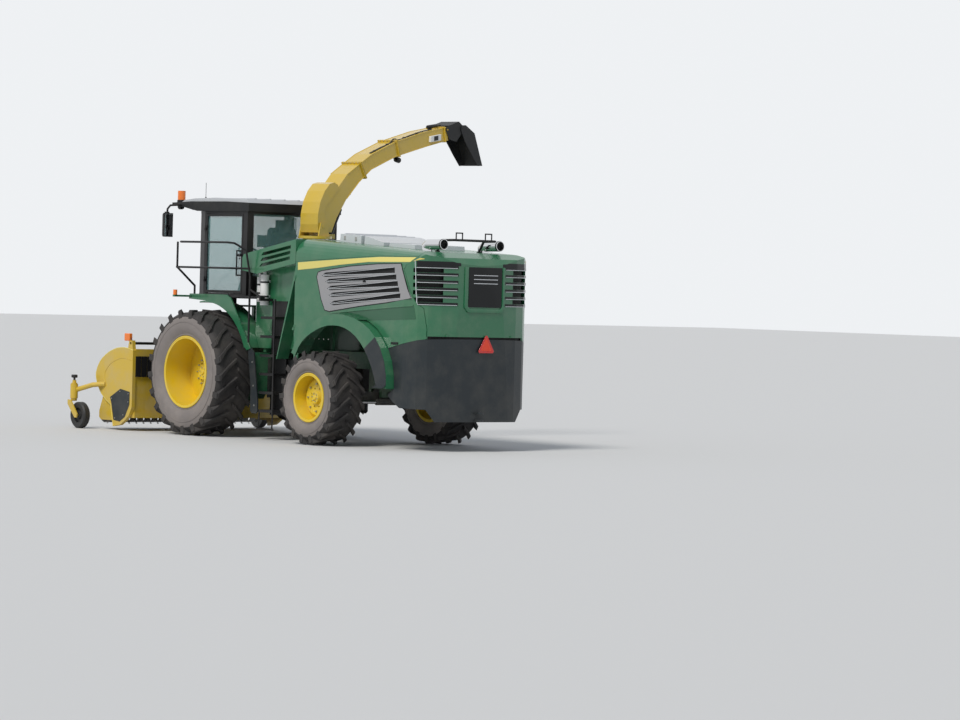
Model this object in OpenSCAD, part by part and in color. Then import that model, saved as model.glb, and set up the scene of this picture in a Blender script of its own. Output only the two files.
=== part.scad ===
/* [Wheels] */
// Distance between the front and rear axles
wheelbase = 3100; // [3050:10:3200]
// Front tyre diameter over its lugs
front_tyre_d = 1970; // [1940:10:2030]
// Front tyre width
front_tyre_w = 700; // [640:10:720]
// Front rim diameter at its flanges
front_rim_d = 1125; // [1080:5:1160]
// Centre line to the middle of a front tyre
front_half_track = 1165; // [1160:5:1220]
// Lugs in one row of a front tyre
front_lugs = 21; // [18:1:24]
// Rear tyre diameter over its lugs
rear_tyre_d = 1420; // [1400:10:1460]
// Rear tyre width
rear_tyre_w = 600; // [540:10:610]
// Rear rim diameter at its flanges
rear_rim_d = 740; // [720:5:770]
// Centre line to the middle of a rear tyre
rear_half_track = 1165; // [1160:5:1200]
// Lugs in one row of a rear tyre
rear_lugs = 18; // [16:1:20]
// Height of a lug
lug_h = 55; // [40:1:60]
// Height of a rim flange over the tyre seat
rim_lip = 28; // [20:1:34]
// Thickness of rim metal
rim_t = 14; // [10:1:18]
// Radius of the axle stub that carries a front wheel
front_stub_r = 90; // [70:1:110]
// Radius of the axle stub that carries a rear wheel
rear_stub_r = 55; // [45:1:65]
// Centre line to a steering kingpin
kingpin_x = 860; // [840:5:880]
// Length of a steering arm
steer_arm = 220; // [200:5:240]

/* [Chassis] */
// Outer faces of the frame rails, centre line to face
rail_out = 440; // [400:5:460]
// Width of a frame rail
rail_w = 110; // [80:5:140]
// Underside of the frame rails
rail_z = 1150; // [1140:5:1200]
// Height of the frame rails
rail_h = 250; // [200:10:280]
// Front end of the frame rails
rail_front = -720; // [-740:10:-700]
// Rear end of the frame rails
rail_rear = 5080; // [5000:10:5120]
// Width of the engine block
engine_w = 1200; // [1000:20:1300]
// Length of the engine block
engine_l = 900; // [800:20:1000]
// Height of the engine block
engine_h = 760; // [700:20:800]

/* [Body] */
// Half of the body width at the side panels
body_half_w = 1080; // [1050:5:1100]
// Front edge of the side panels
panel_front = 2250; // [2230:5:2280]
// Seam between side panel and rear hood, low down
panel_rear = 5000; // [4950:5:5040]
// Rearmost point of the rear hood
hood_rear = 5370; // [5340:5:5400]
// Top of the hood at the front edge of the side panels
hood_top_front = 3085; // [3060:5:3110]
// Top of the hood at the seam
hood_top_rear = 2930; // [2910:5:2950]
// Thickness of body panels
skin = 20; // [12:1:26]
// Gap round a panel that opens
panel_gap = 8; // [6:1:12]
// Height of the rear arch centre
rear_arch_z = 950; // [930:5:970]
// Distance from the rear axle back to the arch centre
arch_back = 300; // [280:5:320]
// Outer face of the rear arch band, from the centre line
flare_out = 1220; // [1180:5:1240]
// Lower edge of the rear skirts
skirt_z = 620; // [600:5:640]

/* [Cab] */
// Half of the cab width
cab_half_w = 875; // [840:5:890]
// Rear wall of the cab
cab_rear = 720; // [700:5:740]
// Front corners of the cab
cab_front = -430; // [-470:5:-400]
// Most forward point of the curved windscreen
screen_front = -860; // [-900:5:-820]
// Cab floor height
cab_floor = 2150; // [2130:5:2180]
// Underside of the cab roof
cab_top = 3505; // [3480:5:3540]
// Top of the cab roof
roof_top = 3715; // [3700:5:3750]
// Thickness of the cab posts and walls
cab_wall = 60; // [45:1:70]
// Glass thickness
glass_t = 8; // [6:1:10]

/* [Header] */
// Half of the header width at its side shields
header_half_w = 1560; // [1520:5:1600]
// Thickness of a side shield
shield_t = 60; // [40:2:80]
// Rear face of the header frame
header_rear = -1300; // [-1340:5:-1280]
// Radius of the auger tube
auger_r = 160; // [130:5:180]
// Outer radius of the auger flights
flight_r = 290; // [260:5:300]
// Radius of the pick-up over its tines
reel_r = 190; // [170:2:200]
// Radius of the compressor roller
roller_r = 80; // [60:2:100]
// Radius of a gauge wheel
gauge_r = 210; // [190:2:220]
// Width of a gauge wheel
gauge_w = 120; // [100:2:140]
// Centre line to a caster spindle
caster_x = 1780; // [1770:5:1820]
// Distance from a caster spindle back to its wheel
caster_trail = 190; // [170:5:210]

/* [Spout] */
// Position of the turret axis behind the front axle
turret_y = 1300; // [1270:5:1330]
// Angle that the spout is turned from straight back, to the right
spout_turn = 100; // [90:1:105]
// Width of the spout duct
duct_w = 350; // [330:5:370]
// Thickness of the spout sheet
duct_t = 10; // [6:1:14]
// Radius of the turret ring
turret_r = 260; // [250:5:275]

/* [Hidden] */
$fn = 64;
big_fn = 240;

front_z = front_tyre_d / 2;
axle_r = 140;
spindle_y = -2600;
hitch_y = 5400;
spout_reach = 3745;
hitch_zs = [450, 560];
hitch_bore_r = 16.5;
rear_z = rear_tyre_d / 2;
rail_top = rail_z + rail_h;
rail_mid = rail_out - rail_w / 2;
run_gap = 0.4;
hood_slope = atan((hood_top_front - hood_top_rear) / (panel_rear - panel_front));

// The stored origin is the middle of the footprint, on the ground
reach_right = -(spout_reach * sin(spout_turn) + (duct_w / 2 + 28) * abs(cos(spout_turn)));
reach_left = caster_x + 95;
reach_front = spindle_y - 62;
reach_rear = hitch_y + 50;
origin_shift = [-(reach_right + reach_left) / 2, -(reach_front + reach_rear) / 2, 0];

module placed() { translate(origin_shift) children(); }
module both() { children(); mirror([1, 0, 0]) children(); }
// A drawing in Y and Z, given thickness along X
module along_x(x, w) { translate([x, 0, 0]) rotate([90, 0, 90]) linear_extrude(w) children(); }
// A drawing in X and Z, given thickness along Y
module along_y(y, w) { translate([0, y + w, 0]) rotate([90, 0, 0]) linear_extrude(w) children(); }
module along_z(z, h) { translate([0, 0, z]) linear_extrude(h) children(); }
module box(x0, x1, y0, y1, z0, z1) { translate([x0, y0, z0]) cube([x1 - x0, y1 - y0, z1 - z0]); }
module rod_x(x0, x1, y, z, r) { translate([x0, y, z]) rotate([0, 90, 0]) cylinder(h = x1 - x0, r = r); }
module rod_y(y0, y1, x, z, r) { translate([x, y1, z]) rotate([90, 0, 0]) cylinder(h = y1 - y0, r = r); }
module rod_z(z0, z1, x, y, r) { translate([x, y, z0]) cylinder(h = z1 - z0, r = r); }
// A round bar between two points
module bar(a, b, r) {
    v = b - a;
    l = norm(v);
    translate(a) rotate([0, acos(v[2] / l), atan2(v[1], v[0])]) cylinder(h = l, r = r);
}
// A bent tube through points, mitred at its corners
function unit(v) = v / norm(v);
function side_of(d) = unit(abs(d[2]) < 0.9 ? cross(d, [0, 0, 1]) : cross(d, [1, 0, 0]));
function tube_rings(pts, ring, i) = i == len(pts) ? [] : let (
    d = unit(pts[i] - pts[i - 1]),
    n = i < len(pts) - 1 ? unit(d + unit(pts[i + 1] - pts[i])) : d,
    next = [for (p = ring) p + d * (((pts[i] - p) * n) / (d * n))])
    concat([next], tube_rings(pts, next, i + 1));
module tube_run(pts, r, n = 10) {
    d = unit(pts[1] - pts[0]);
    u = side_of(d);
    v = cross(d, u);
    first = [for (k = [0 : n - 1]) pts[0] + r * (cos(k * 360 / n) * u + sin(k * 360 / n) * v)];
    rings = concat([first], tube_rings(pts, first, 1));
    m = len(rings);
    polyhedron([for (g = rings) for (p = g) p], concat([[for (k = [0 : n - 1]) k]],
        [for (i = [0 : m - 2], k = [0 : n - 1]) [i * n + k, (i + 1) * n + k, (i + 1) * n + (k + 1) % n, i * n + (k + 1) % n]],
        [[for (k = [n - 1 : -1 : 0]) (m - 1) * n + k]]));
}
function arc(cx, cy, r, a0, a1, n = 8) =
    [for (i = [0 : n]) [cx + r * cos(a0 + (a1 - a0) * i / n), cy + r * sin(a0 + (a1 - a0) * i / n)]];

// Tyre about the X axis, its lugs leaning forward at the top
module tyre(d, w, rim_d, seat_w, count) {
    r = d / 2;
    crown = r - lug_h;
    seat_r = rim_d / 2 - rim_lip;
    side = [[seat_r, seat_w / 2], [rim_d / 2 + 6, seat_w / 2], [rim_d / 2 + 0.4 * (crown - rim_d / 2), w / 2],
        [crown - 60, w / 2 - 14], [crown, w / 2 - 80]];
    other = [for (i = [4 : -1 : 0]) [side[i][0], -side[i][1]]];
    rotate([0, 90, 0]) rotate_extrude() polygon(concat(side, other));
    run = 0.42 * w;
    thick = 0.085 * w;
    reach = run / 2 + thick / 2 + 12;
    top = sqrt(r * r - reach * reach);
    for (s = [0, 1], i = [0 : count - 1])
        rotate([(i + s / 2) * 360 / count, 0, 0]) mirror([s, 0, 0])
            translate([0, 0, crown - 75]) linear_extrude(top - crown + 75)
                polygon([[8, -run / 2 - thick / 2], [8, -run / 2 + thick / 2],
                    [w / 2 - 24, run / 2 + thick / 2 + 8], [w / 2 - 24, run / 2 - thick]]);
}

// Rim about the X axis, its outer side towards +X
module rim(rim_d, seat_w, join_x, flat_r, hub_x, hub_r, bore_r, cap_r, cap_x, inner_x, holes, hole_pcd, hole_r) {
    seat_r = rim_d / 2 - rim_lip;
    in_r = seat_r - rim_t;
    difference() {
        rotate([0, 90, 0]) rotate_extrude() polygon([[seat_r, -seat_w / 2], [rim_d / 2, -seat_w / 2],
            [rim_d / 2, -seat_w / 2 - 14], [in_r, -seat_w / 2 - 14], [in_r, join_x - rim_t], [flat_r, hub_x - rim_t],
            [hub_r, hub_x - rim_t],
            [hub_r, inner_x], [bore_r + run_gap, inner_x], [bore_r + run_gap, cap_x - 20], [0, cap_x - 20], [0, cap_x],
            [cap_r, cap_x], [cap_r + 12, hub_x], [flat_r, hub_x], [in_r, join_x], [in_r, seat_w / 2 + 14],
            [rim_d / 2, seat_w / 2 + 14], [rim_d / 2, seat_w / 2], [seat_r, seat_w / 2]]);
        for (i = [0 : holes - 1]) rotate([(i + 0.5) * 360 / holes, 0, 0]) translate([0, 0, hole_pcd / 2])
            rotate([0, 90, 0]) translate([0, 0, hub_x - 200]) cylinder(h = 400, r = hole_r);
    }
}
front_seat_w = front_tyre_w - 110;
rear_seat_w = rear_tyre_w - 110;
// Outer face of each hub, measured out from the middle of its wheel
front_hub = -96;
rear_hub = 94;
module front_rim() { rim(front_rim_d, front_seat_w, -170, 225, front_hub, 205, front_stub_r, 118, -30, front_hub - 100, 12, 334, 24); }
module rear_rim() { rim(rear_rim_d, rear_seat_w, 40, 262, rear_hub, 150, rear_stub_r, 92, 136, rear_hub - 134, 8, 286, 15); }
module front_tyre() { tyre(front_tyre_d, front_tyre_w, front_rim_d, front_seat_w, front_lugs); }
module rear_tyre() { tyre(rear_tyre_d, rear_tyre_w, rear_rim_d, rear_seat_w, rear_lugs); }
module at_front_wheel() { translate([front_half_track, 0, front_z]) children(); }
module at_rear_wheel() { translate([rear_half_track, wheelbase, rear_z]) children(); }

module tyre_front_left() { color([0.13, 0.13, 0.14]) at_front_wheel() front_tyre(); }
module rim_front_left() { color([0.95, 0.78, 0.1]) at_front_wheel() front_rim(); }
module tyre_front_right() { color([0.13, 0.13, 0.14]) mirror([1, 0, 0]) at_front_wheel() front_tyre(); }
module rim_front_right() { color([0.95, 0.78, 0.1]) mirror([1, 0, 0]) at_front_wheel() front_rim(); }
module tyre_rear_left() { color([0.13, 0.13, 0.14]) at_rear_wheel() rear_tyre(); }
module rim_rear_left() { color([0.95, 0.78, 0.1]) at_rear_wheel() rear_rim(); }
module tyre_rear_right() { color([0.13, 0.13, 0.14]) mirror([1, 0, 0]) at_rear_wheel() rear_tyre(); }
module rim_rear_right() { color([0.95, 0.78, 0.1]) mirror([1, 0, 0]) at_rear_wheel() rear_rim(); }

// Two box rails, their cross beams and the brackets that hold the axles
beam_ys = [1560, 1900, 2500, 3400, 4600];
module frame() {
    color([0.1, 0.22, 0.12]) {
        both() box(rail_out - rail_w, rail_out, rail_front, rail_rear, rail_z, rail_top);
        for (y = beam_ys) box(-rail_out + rail_w - 1, rail_out - rail_w + 1, y, y + 120, rail_z + 40, rail_top - 40);
        box(-rail_out + rail_w - 1, rail_out - rail_w + 1, rail_front, rail_front + 90, chopper_top + 5, rail_top);
        difference() {
            box(-150, 150, wheelbase - 160, wheelbase + 160, rear_z + 10, rail_top - 60);
            box(-160, 160, wheelbase - 100, wheelbase + 100, rear_z, rear_z + 135);
            rod_y(wheelbase - 200, wheelbase + 200, 0, rear_z + 60, 40);
        }
        both() box(120, rail_out - rail_w + 1, wheelbase - 60, wheelbase + 60, rail_z + 20, rail_z + 140);
        both() difference() {
            box(rail_out - rail_w, rail_out, -170, 170, front_z + 60, rail_z + 1);
            rod_x(0, 900, 0, front_z, axle_r + 0.3);
        }
        both() {
            rod_x(rail_out - 2, feeder_arm_x + feeder_arm_t + 5, lift_pin[0], lift_pin[1], pin_r);
            rod_x(feeder_arm_x + feeder_arm_t + 4, feeder_arm_x + feeder_arm_t + 14, lift_pin[0], lift_pin[1], pin_r + 18);
        }
        box(-rail_out, rail_out, rail_rear - 1, rail_rear + 30, rail_z - 250, rail_top - 80);
    }
}

module front_axle() {
    color([0.12, 0.13, 0.13]) {
        difference() {
            union() {
                both() {
                    rod_x(0, 620, 0, front_z, axle_r);
                    rod_x(600, 790, 0, front_z, 215);
                    rod_x(780, front_half_track + front_hub + 40, 0, front_z, front_stub_r);
                }
                box(-230, 230, -200, 200, front_z - 200, rail_z - 10);
                // Ears for the header cylinders
                both() for (x = ram_ear_xs) {
                    box(x, x + 12, -290, -60, ram_foot[1] - 45, front_z - 60);
                }
            }
            box(-600, 600, -400, -260 - 31, 0, 2000);
        }
        both() rod_x(ram_ear_xs[0], ram_ear_xs[1] + 12, ram_foot[0], ram_foot[1], 19.6);
    }
}

// Steered axle: beam on a centre pin, forks at its ends and the steering ram
ear_t = 34;
steer_y = wheelbase + steer_arm;
steer_z = rear_z - 55;
fork_half = 110;
steer_sag = steer_arm * (1 - cos(38));
module rear_axle() {
    color([0.12, 0.13, 0.13]) {
        difference() {
            union() {
                box(-700, 700, wheelbase - 70, wheelbase + 70, rear_z - 90, rear_z + 90);
                both() box(660, 745, wheelbase - 70, wheelbase + 70, rear_z - fork_half - ear_t, rear_z + fork_half + ear_t);
                both() for (z = [rear_z - fork_half - ear_t, rear_z + fork_half]) {
                    box(740, kingpin_x, wheelbase - 70, wheelbase + 70, z, z + ear_t);
                    rod_z(z, z + ear_t, kingpin_x, wheelbase, 70.5);
                }
                box(-120, 120, wheelbase - 95, wheelbase + 95, rear_z - 40, rear_z + 130);
            }
            both() rod_z(rear_z - 200, rear_z + 200, kingpin_x, wheelbase, 36);
        }
        rod_y(wheelbase - 175, wheelbase + 175, 0, rear_z + 60, 39.6);
        // Steering ram across the rear of the beam
        difference() {
            rod_x(-300, 300, steer_y, steer_z, 48);
            rod_x(-301, 301, steer_y, steer_z, 24.4);
        }
        both() box(150, 190, wheelbase + 60, steer_y - 40, steer_z - 25, steer_z + 25);
    }
}
module knuckle() {
    rod_z(rear_z - fork_half + 0.5, rear_z + fork_half - 0.5, kingpin_x, wheelbase, 66);
    rod_z(rear_z - fork_half - ear_t - 4, rear_z + fork_half + ear_t + 4, kingpin_x, wheelbase, 35.6);
    rod_x(kingpin_x, rear_half_track + rear_hub - 142, wheelbase, rear_z, 85);
    rod_x(kingpin_x, rear_half_track + 80, wheelbase, rear_z, rear_stub_r);
    translate([kingpin_x - 25, wheelbase, rear_z - 20]) cube([50, steer_arm, 40]);
    rod_z(rear_z - 20, rear_z + 20, kingpin_x, wheelbase + steer_arm, 38);
    rod_z(steer_z - 30, rear_z, kingpin_x, wheelbase + steer_arm, 15);
}
module knuckle_left() { color([0.15, 0.16, 0.16]) knuckle(); }
module knuckle_right() { color([0.15, 0.16, 0.16]) mirror([1, 0, 0]) knuckle(); }
module steer_rod() {
    color([0.75, 0.76, 0.78]) difference() {
        union() {
            rod_x(-kingpin_x + 30, kingpin_x - 30, steer_y, steer_z, 24);
            both() rod_z(steer_z - 24, steer_z + 24, kingpin_x, steer_y - steer_sag / 2, 58);
        }
        // The eyes leave room for the arms' swing
        both() translate([0, 0, steer_z - 50]) linear_extrude(100) hull() {
            translate([kingpin_x, steer_y]) circle(r = 22, $fn = 32);
            translate([kingpin_x, steer_y - steer_sag]) circle(r = 22, $fn = 32);
        }
    }
}

module engine() {
    color([0.2, 0.3, 0.2])
        box(-engine_w / 2, engine_w / 2, 3560, 3560 + engine_l, rail_top, rail_top + engine_h);
}

// Chopping drum housing and the chute from it up to the turret
chopper_top = 1320;
duct_head = 2835;
module crop_duct() {
    color([0.14, 0.3, 0.16]) {
        along_x(-300, 600) polygon([[-700, 640], [-700, 1180], [-560, chopper_top], [-260, chopper_top], [-210, rail_top],
            [430, rail_top], [900, 1750], [turret_y - 180, duct_head], [turret_y + 180, duct_head], [turret_y + 180, 2600],
            [1150, 1600], [1000, rail_z + 60], [-210, rail_z + 10], [-210, 700], [-320, 560], [-600, 560]]);
        both() for (y = [-560, 250]) box(299, rail_out - rail_w, y, y + 60, rail_z + 50, rail_z + 140);
    }
}

panel_hinge = [body_half_w + 4, panel_front - 4];
panel_hinge_zs = [1700, 2450];
// Underside of the sheet over the turret's base
sheet_y = cab_rear + 290;
function sheet_under(y) = 2824.5 + (hood_top_front - 35 - 2825) * (y - sheet_y) / (panel_front - 8 - sheet_y);
// Green walls behind the cab, below the shrouds
module mid_body() {
    color([0.08, 0.35, 0.16]) both() {
        difference() {
            along_x(800, 30) polygon([[cab_rear + 222, rail_top], [cab_rear + 222, 2807], [sheet_y, sheet_under(sheet_y)],
                [panel_front - 51, sheet_under(panel_front - 51)], [panel_front - 51, rail_top]]);
            along_x(790, 50) translate([0, front_z]) circle(r = front_arch + 26, $fn = big_fn);
        }
        along_x(829, 220) polygon([[1775, 1250], [1795, 1250], [panel_front - 30, 2560], [panel_front - 30, 2690]]);
        // Post and knuckles that carry a side panel
        box(body_half_w - 60, body_half_w - 30, panel_front - 45, panel_front - 20, 1600, 2600);
        for (z = panel_hinge_zs) {
            box(body_half_w - 31, panel_hinge[0], panel_front - 40, panel_hinge[1] - 2, z, z + 40);
            rod_z(z, z + 40, panel_hinge[0], panel_hinge[1], 8);
        }
        for (y = [1120, 1700]) box(rail_out, 801, y, y + 60, rail_top - 60, rail_top + 1);
    }
    color([0.08, 0.35, 0.16])
        box(-801, 801, panel_front - 52, panel_front - 30, rail_top, sheet_under(panel_front - 52));
}
module tanks() {
    color([0.1, 0.12, 0.12]) {
        box(rail_out, 790, 1225, 2040, 640, rail_z + 90);
        box(-1040, -rail_out, 1420, 2040, 640, rail_z + 90);
    }
}

// Outline of the hood seen from the side, moved in by d
function hood_side(d) = [[panel_front, 400], [panel_front, hood_top_front - d],
    [panel_rear + 110, hood_top_rear - 110 * tan(hood_slope) - d], [hood_rear - 60, hood_top_rear - 85 - d],
    [hood_rear - d, hood_top_rear - 190 - d], [hood_rear - 20 - d, 1700], [hood_rear - 40 - d, 400]];
// Plan of the hood, bowed at the tail
tail_bow = 360;
function hood_plan(d) = concat([[-body_half_w + d, panel_front - 10], [body_half_w - d, panel_front - 10],
    [body_half_w - d, panel_rear - 120]],
    [for (i = [0 : 10]) let (a = i * 18) [(body_half_w - 15 - d) * pow(abs(cos(a)), 0.75) * sign(cos(a) + 1e-9),
        panel_rear + (tail_bow + 10 - d) * pow(sin(a), 0.8)]],
    [[-body_half_w + d, panel_rear - 120]]);
// Cross section of the hood, its shoulders rounded
function hood_cross(d) = let (w = body_half_w - d, t = hood_top_front - d)
    concat([[-w, 200], [w, 200]], arc(w - 260, t - 260, 260, 0, 90, 7),
    [for (p = arc(w - 260, t - 260, 260, 90, 0, 7)) [-p[0], p[1]]]);
module hood_volume(d) {
    intersection() {
        along_x(-1300, 2600) polygon(hood_side(d));
        along_z(300, 3000) polygon(hood_plan(d));
        translate([0, panel_front, hood_top_front]) rotate([-hood_slope, 0, 0])
            translate([0, -300, -hood_top_front]) rotate([90, 0, 0]) translate([0, 0, -4200])
                linear_extrude(4200) polygon(hood_cross(d));
    }
}
module hood_shell() { difference() { hood_volume(0); hood_volume(skin); } }
// Where side panel, deck and rear hood part, seen from the side
panel_top_front = 2745;
panel_top_mid = 2850;
panel_low = [[190, 1648], [-448, 1500]];
seam = [for (p = [[104, 3300], [104, 2817], [-85, 2727], [-125, 2658], [-6, 2390], [88, 2203], [200, 2098],
    [235, 1790], [235, 1660], [194, 1291], [194, 300]]) [panel_rear + p[0], p[1]]];
// Rows of the rear arch: angle round its centre, inner radius, outer radius
arch_rows = [[158, 996, 1100], [150, 984, 1090], [142, 962, 1075], [134, 930, 1052], [127, 904, 1035], [118, 878, 1024],
    [110, 865, 1018], [100, 856, 1015], [90, 850, 1018], [81, 855, 1030], [72, 862, 1052], [62, 872, 1090], [52, 885, 1140],
    [43, 898, 1190], [35, 913, 1225], [26, 938, 1262], [16, 969, 1290], [7, 1012, 1300], [-2, 1064, 1300]];
function arch_line(k, g) = [for (r = arch_rows)
    [wheelbase + arch_back + (r[k] + g) * cos(r[0]), rear_arch_z + (r[k] + g) * sin(r[0])]];
function back_of(list) = [for (i = [len(list) - 1 : -1 : 0]) list[i]];
module arch_area(g) { polygon(concat(arch_line(2, g), [[wheelbase + arch_back, rear_arch_z - 900]])); }
module panel_outline(g) {
    difference() {
        polygon(concat([[panel_front + g, 1250], [panel_front + g, panel_top_front - g], [4236, panel_top_mid - g],
            [panel_rear + 104 - g, panel_top_mid - g]], [for (i = [1 : 7]) seam[i] - [g, 0]],
            [[panel_rear + panel_low[0][0] - g + 40, panel_low[0][1]], [panel_rear + panel_low[1][0], panel_low[1][1]], [4200, 1300],
            [wheelbase - 600, 1342], [panel_front + 106, 1342], [panel_front + 100, 1250]]));
        arch_area(16);
    }
}
// Grille opening in the side panel
grille = [[2784, 2517], [2815, 2587], [2905, 2611], [3578, 2688], [4241, 2731], [panel_rear - 200, 2745],
    [panel_rear - 165, 2660], [panel_rear - 40, 2390], [panel_rear + 40, 2240], [4484, 2163], [3827, 2095], [3114, 2003],
    [3000, 2021], [2902, 2186]];
module panel() {
    difference() {
        intersection() {
            hood_shell();
            along_x(800, 500) panel_outline(panel_gap / 2);
        }
        along_x(800, 500) polygon(grille);
    }
    box(body_half_w - skin - 30, body_half_w - skin + 1, panel_front + 8, panel_front + 60, 1700, 2700);
    for (z = panel_hinge_zs) {
        rod_z(z + 40.4, z + 80, panel_hinge[0], panel_hinge[1], 8);
        box(panel_hinge[0] - 7, panel_hinge[0], panel_hinge[1] + 1, panel_front + 30, z + 40.4, z + 80);
    }
}
// Rows of the grille's slots: tip, top and bottom of the wide end, each as Y and Z
slots = [[[2905, 2541], [4657, 2682], [4661, 2604]], [[2991, 2446], [4695, 2580], [4700, 2507]],
    [[3041, 2343], [4731, 2484], [4745, 2413]], [[3091, 2243], [4768, 2393], [4781, 2329]],
    [[3125, 2120], [4804, 2305], [4800, 2238]]];
module side_grille() {
    difference() {
        along_x(body_half_w - 26, 30) polygon(grille);
        along_x(body_half_w - 30, 40) for (q = slots) polygon([q[0], q[0] + [80, -24], q[2], q[1], q[0] + [90, 44]]);
    }
}
module panel_left() { color([0.12, 0.42, 0.2]) panel(); }
module panel_right() { color([0.12, 0.42, 0.2]) mirror([1, 0, 0]) panel(); }
module grille_left() { color([0.4, 0.42, 0.43]) side_grille(); }
module grille_right() { color([0.4, 0.42, 0.43]) mirror([1, 0, 0]) side_grille(); }

exhaust_y = 4720;
exhaust_x = 540;
// Fixed top of the hood, behind the shrouds
module hood_deck() {
    color([0.14, 0.45, 0.22]) difference() {
        union() {
            intersection() {
                hood_shell();
                along_x(-1200, 2400) polygon([[panel_front, panel_top_front], [panel_front, 3300],
                    [panel_rear + 100, 3300], [panel_rear + 100, panel_top_mid], [4236, panel_top_mid]]);
            }
            both() for (y = [panel_front + 30, panel_rear - 510]) {
                box(300, 360, y, y + 60, rail_top, hood_top_front - (y + 60 - panel_front) * tan(hood_slope) - skin + 3);
            }
        }
        for (x = [exhaust_x, -exhaust_x]) rod_z(2600, 3200, x, exhaust_y, 78.4);
    }
}

// Bodywork beside the turret with its slanted air slots
shroud_top = [[cab_rear + 165, 2783], [cab_rear + 200, 2835], [cab_rear + 283, 2855], [panel_front - 8, hood_top_front - 5]];
module shroud_outline() {
    polygon(concat([[cab_rear + 165, 2590]], shroud_top, [[panel_front - 8, 2712], [cab_rear + 546, 2540]]));
}
module shrouds() {
    color([0.12, 0.42, 0.2]) {
        both() difference() {
            along_x(body_half_w - 25, 25) shroud_outline();
            along_x(body_half_w - 40, 60) for (i = [0 : 2]) translate([panel_front - 920 + i * 20, 2640 + i * 86]) rotate(9.5)
                polygon([[0, 10], [100, 0], [780 - i * 10, 0], [780 - i * 10, 50], [60, 50]]);
        }
        difference() {
            along_x(-body_half_w + 25, 2 * body_half_w - 50) polygon(concat(shroud_top, [[panel_front - 8, hood_top_front - 35],
                [sheet_y, 2825], [cab_rear + 222, 2808], [cab_rear + 193, 2783]]));
            rod_z(2500, 3300, 0, turret_y, turret_r - 60);
        }
        both() box(830, body_half_w - 24, panel_front - 25, panel_front - 8, 2790, hood_top_front - 30);
    }
}

// Tail of the hood with its three louvred fields
module rear_hood() {
    color([0.1, 0.36, 0.17]) {
        difference() {
            intersection() {
                hood_shell();
                along_x(-1200, 2400) polygon(concat([for (p = seam) p + [4, 0]], [[panel_rear + 600, 300], [panel_rear + 600, 3300]]));
                box(-1300, 1300, panel_rear - 500, panel_rear + 600, 1690, 3300);
            }
            for (s = [-1, 1]) translate([s * 740, panel_rear, 0]) rotate([0, 0, s * -28]) for (i = [0 : 4])
                box(-190, 250, 60, 500, 2190 + i * 108, 2190 + i * 108 + 62);
        }
        // Tab under the deck's edge
        on_deck(panel_rear + 50) box(-400, 400, 0, 90, -skin - 12, -skin - 0.3);
        // Latch posts that meet the lower tail
        both() box(600, 640, panel_rear + 200, panel_rear + 345, 1691, 1720);
    }
}

// Bands round the rear arches, fixed to the frame
module rear_fenders() {
    color([0.3, 0.5, 0.34]) both() {
        along_x(flare_out - 30, 30) polygon(concat(arch_line(2, 0), back_of(arch_line(1, 0))));
        along_x(900, flare_out - 901) polygon(concat(arch_line(2, 0), back_of(arch_line(2, -25))));
        box(rail_out - 1, 912, wheelbase + arch_back - 40, wheelbase + arch_back + 40, rear_arch_z + 996, rear_arch_z + 1010);
        box(rail_out - 60, rail_out, wheelbase + arch_back - 40, wheelbase + arch_back + 40, rail_top, rear_arch_z + 1010);
    }
}

// Dark side skirts behind the rear wheels and the lower tail
module skirts() {
    color([0.11, 0.12, 0.13]) {
        difference() {
            intersection() {
                hood_shell();
                along_x(-1300, 2600) polygon([[4480, 1484], [panel_rear + panel_low[1][0], panel_low[1][1] - 8],
                    [panel_rear + panel_low[0][0], panel_low[0][1] - 8], [panel_rear + 600, 1682], [panel_rear + 600, 440],
                    [panel_rear + 290, 440], [panel_rear + 240, skirt_z], [4837, skirt_z + 8], [4640, 739], [4440, 900]]);
            }
            along_x(-1300, 2600) arch_area(8);
        }
        both() box(rail_out, body_half_w - 19, 4740, 4780, rail_z + 60, rail_z + 120);
        both() box(rail_out - 1, body_half_w - 60, rail_rear + 31, rail_rear + 61, rail_z - 100, rail_z - 40);
        box(-rail_out, rail_out, rail_rear + 30, rail_rear + 62, rail_z - 240, rail_z);
        difference() {
            box(-rail_out + 100, rail_out - 100, rail_rear + 60, hood_rear - 40, 440, 1000);
            box(-rail_out, rail_out, rail_rear + 59, rail_rear + 61, 370, 371);
        }
        // Hitch ears with their pin bore
        difference() {
            union() {
                for (z = hitch_zs) {
                    box(-50, 50, hood_rear - 60, hitch_y, z, z + 30);
                    rod_z(z, z + 30, 0, hitch_y, 50);
                }
            }
            rod_z(hitch_zs[0] - 10, hitch_zs[1] + 40, 0, hitch_y, hitch_bore_r);
        }
    }
}

door_hinge = [cab_half_w + 13, cab_front + 63];
hinge_zs = [2400, 3200];
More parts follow.
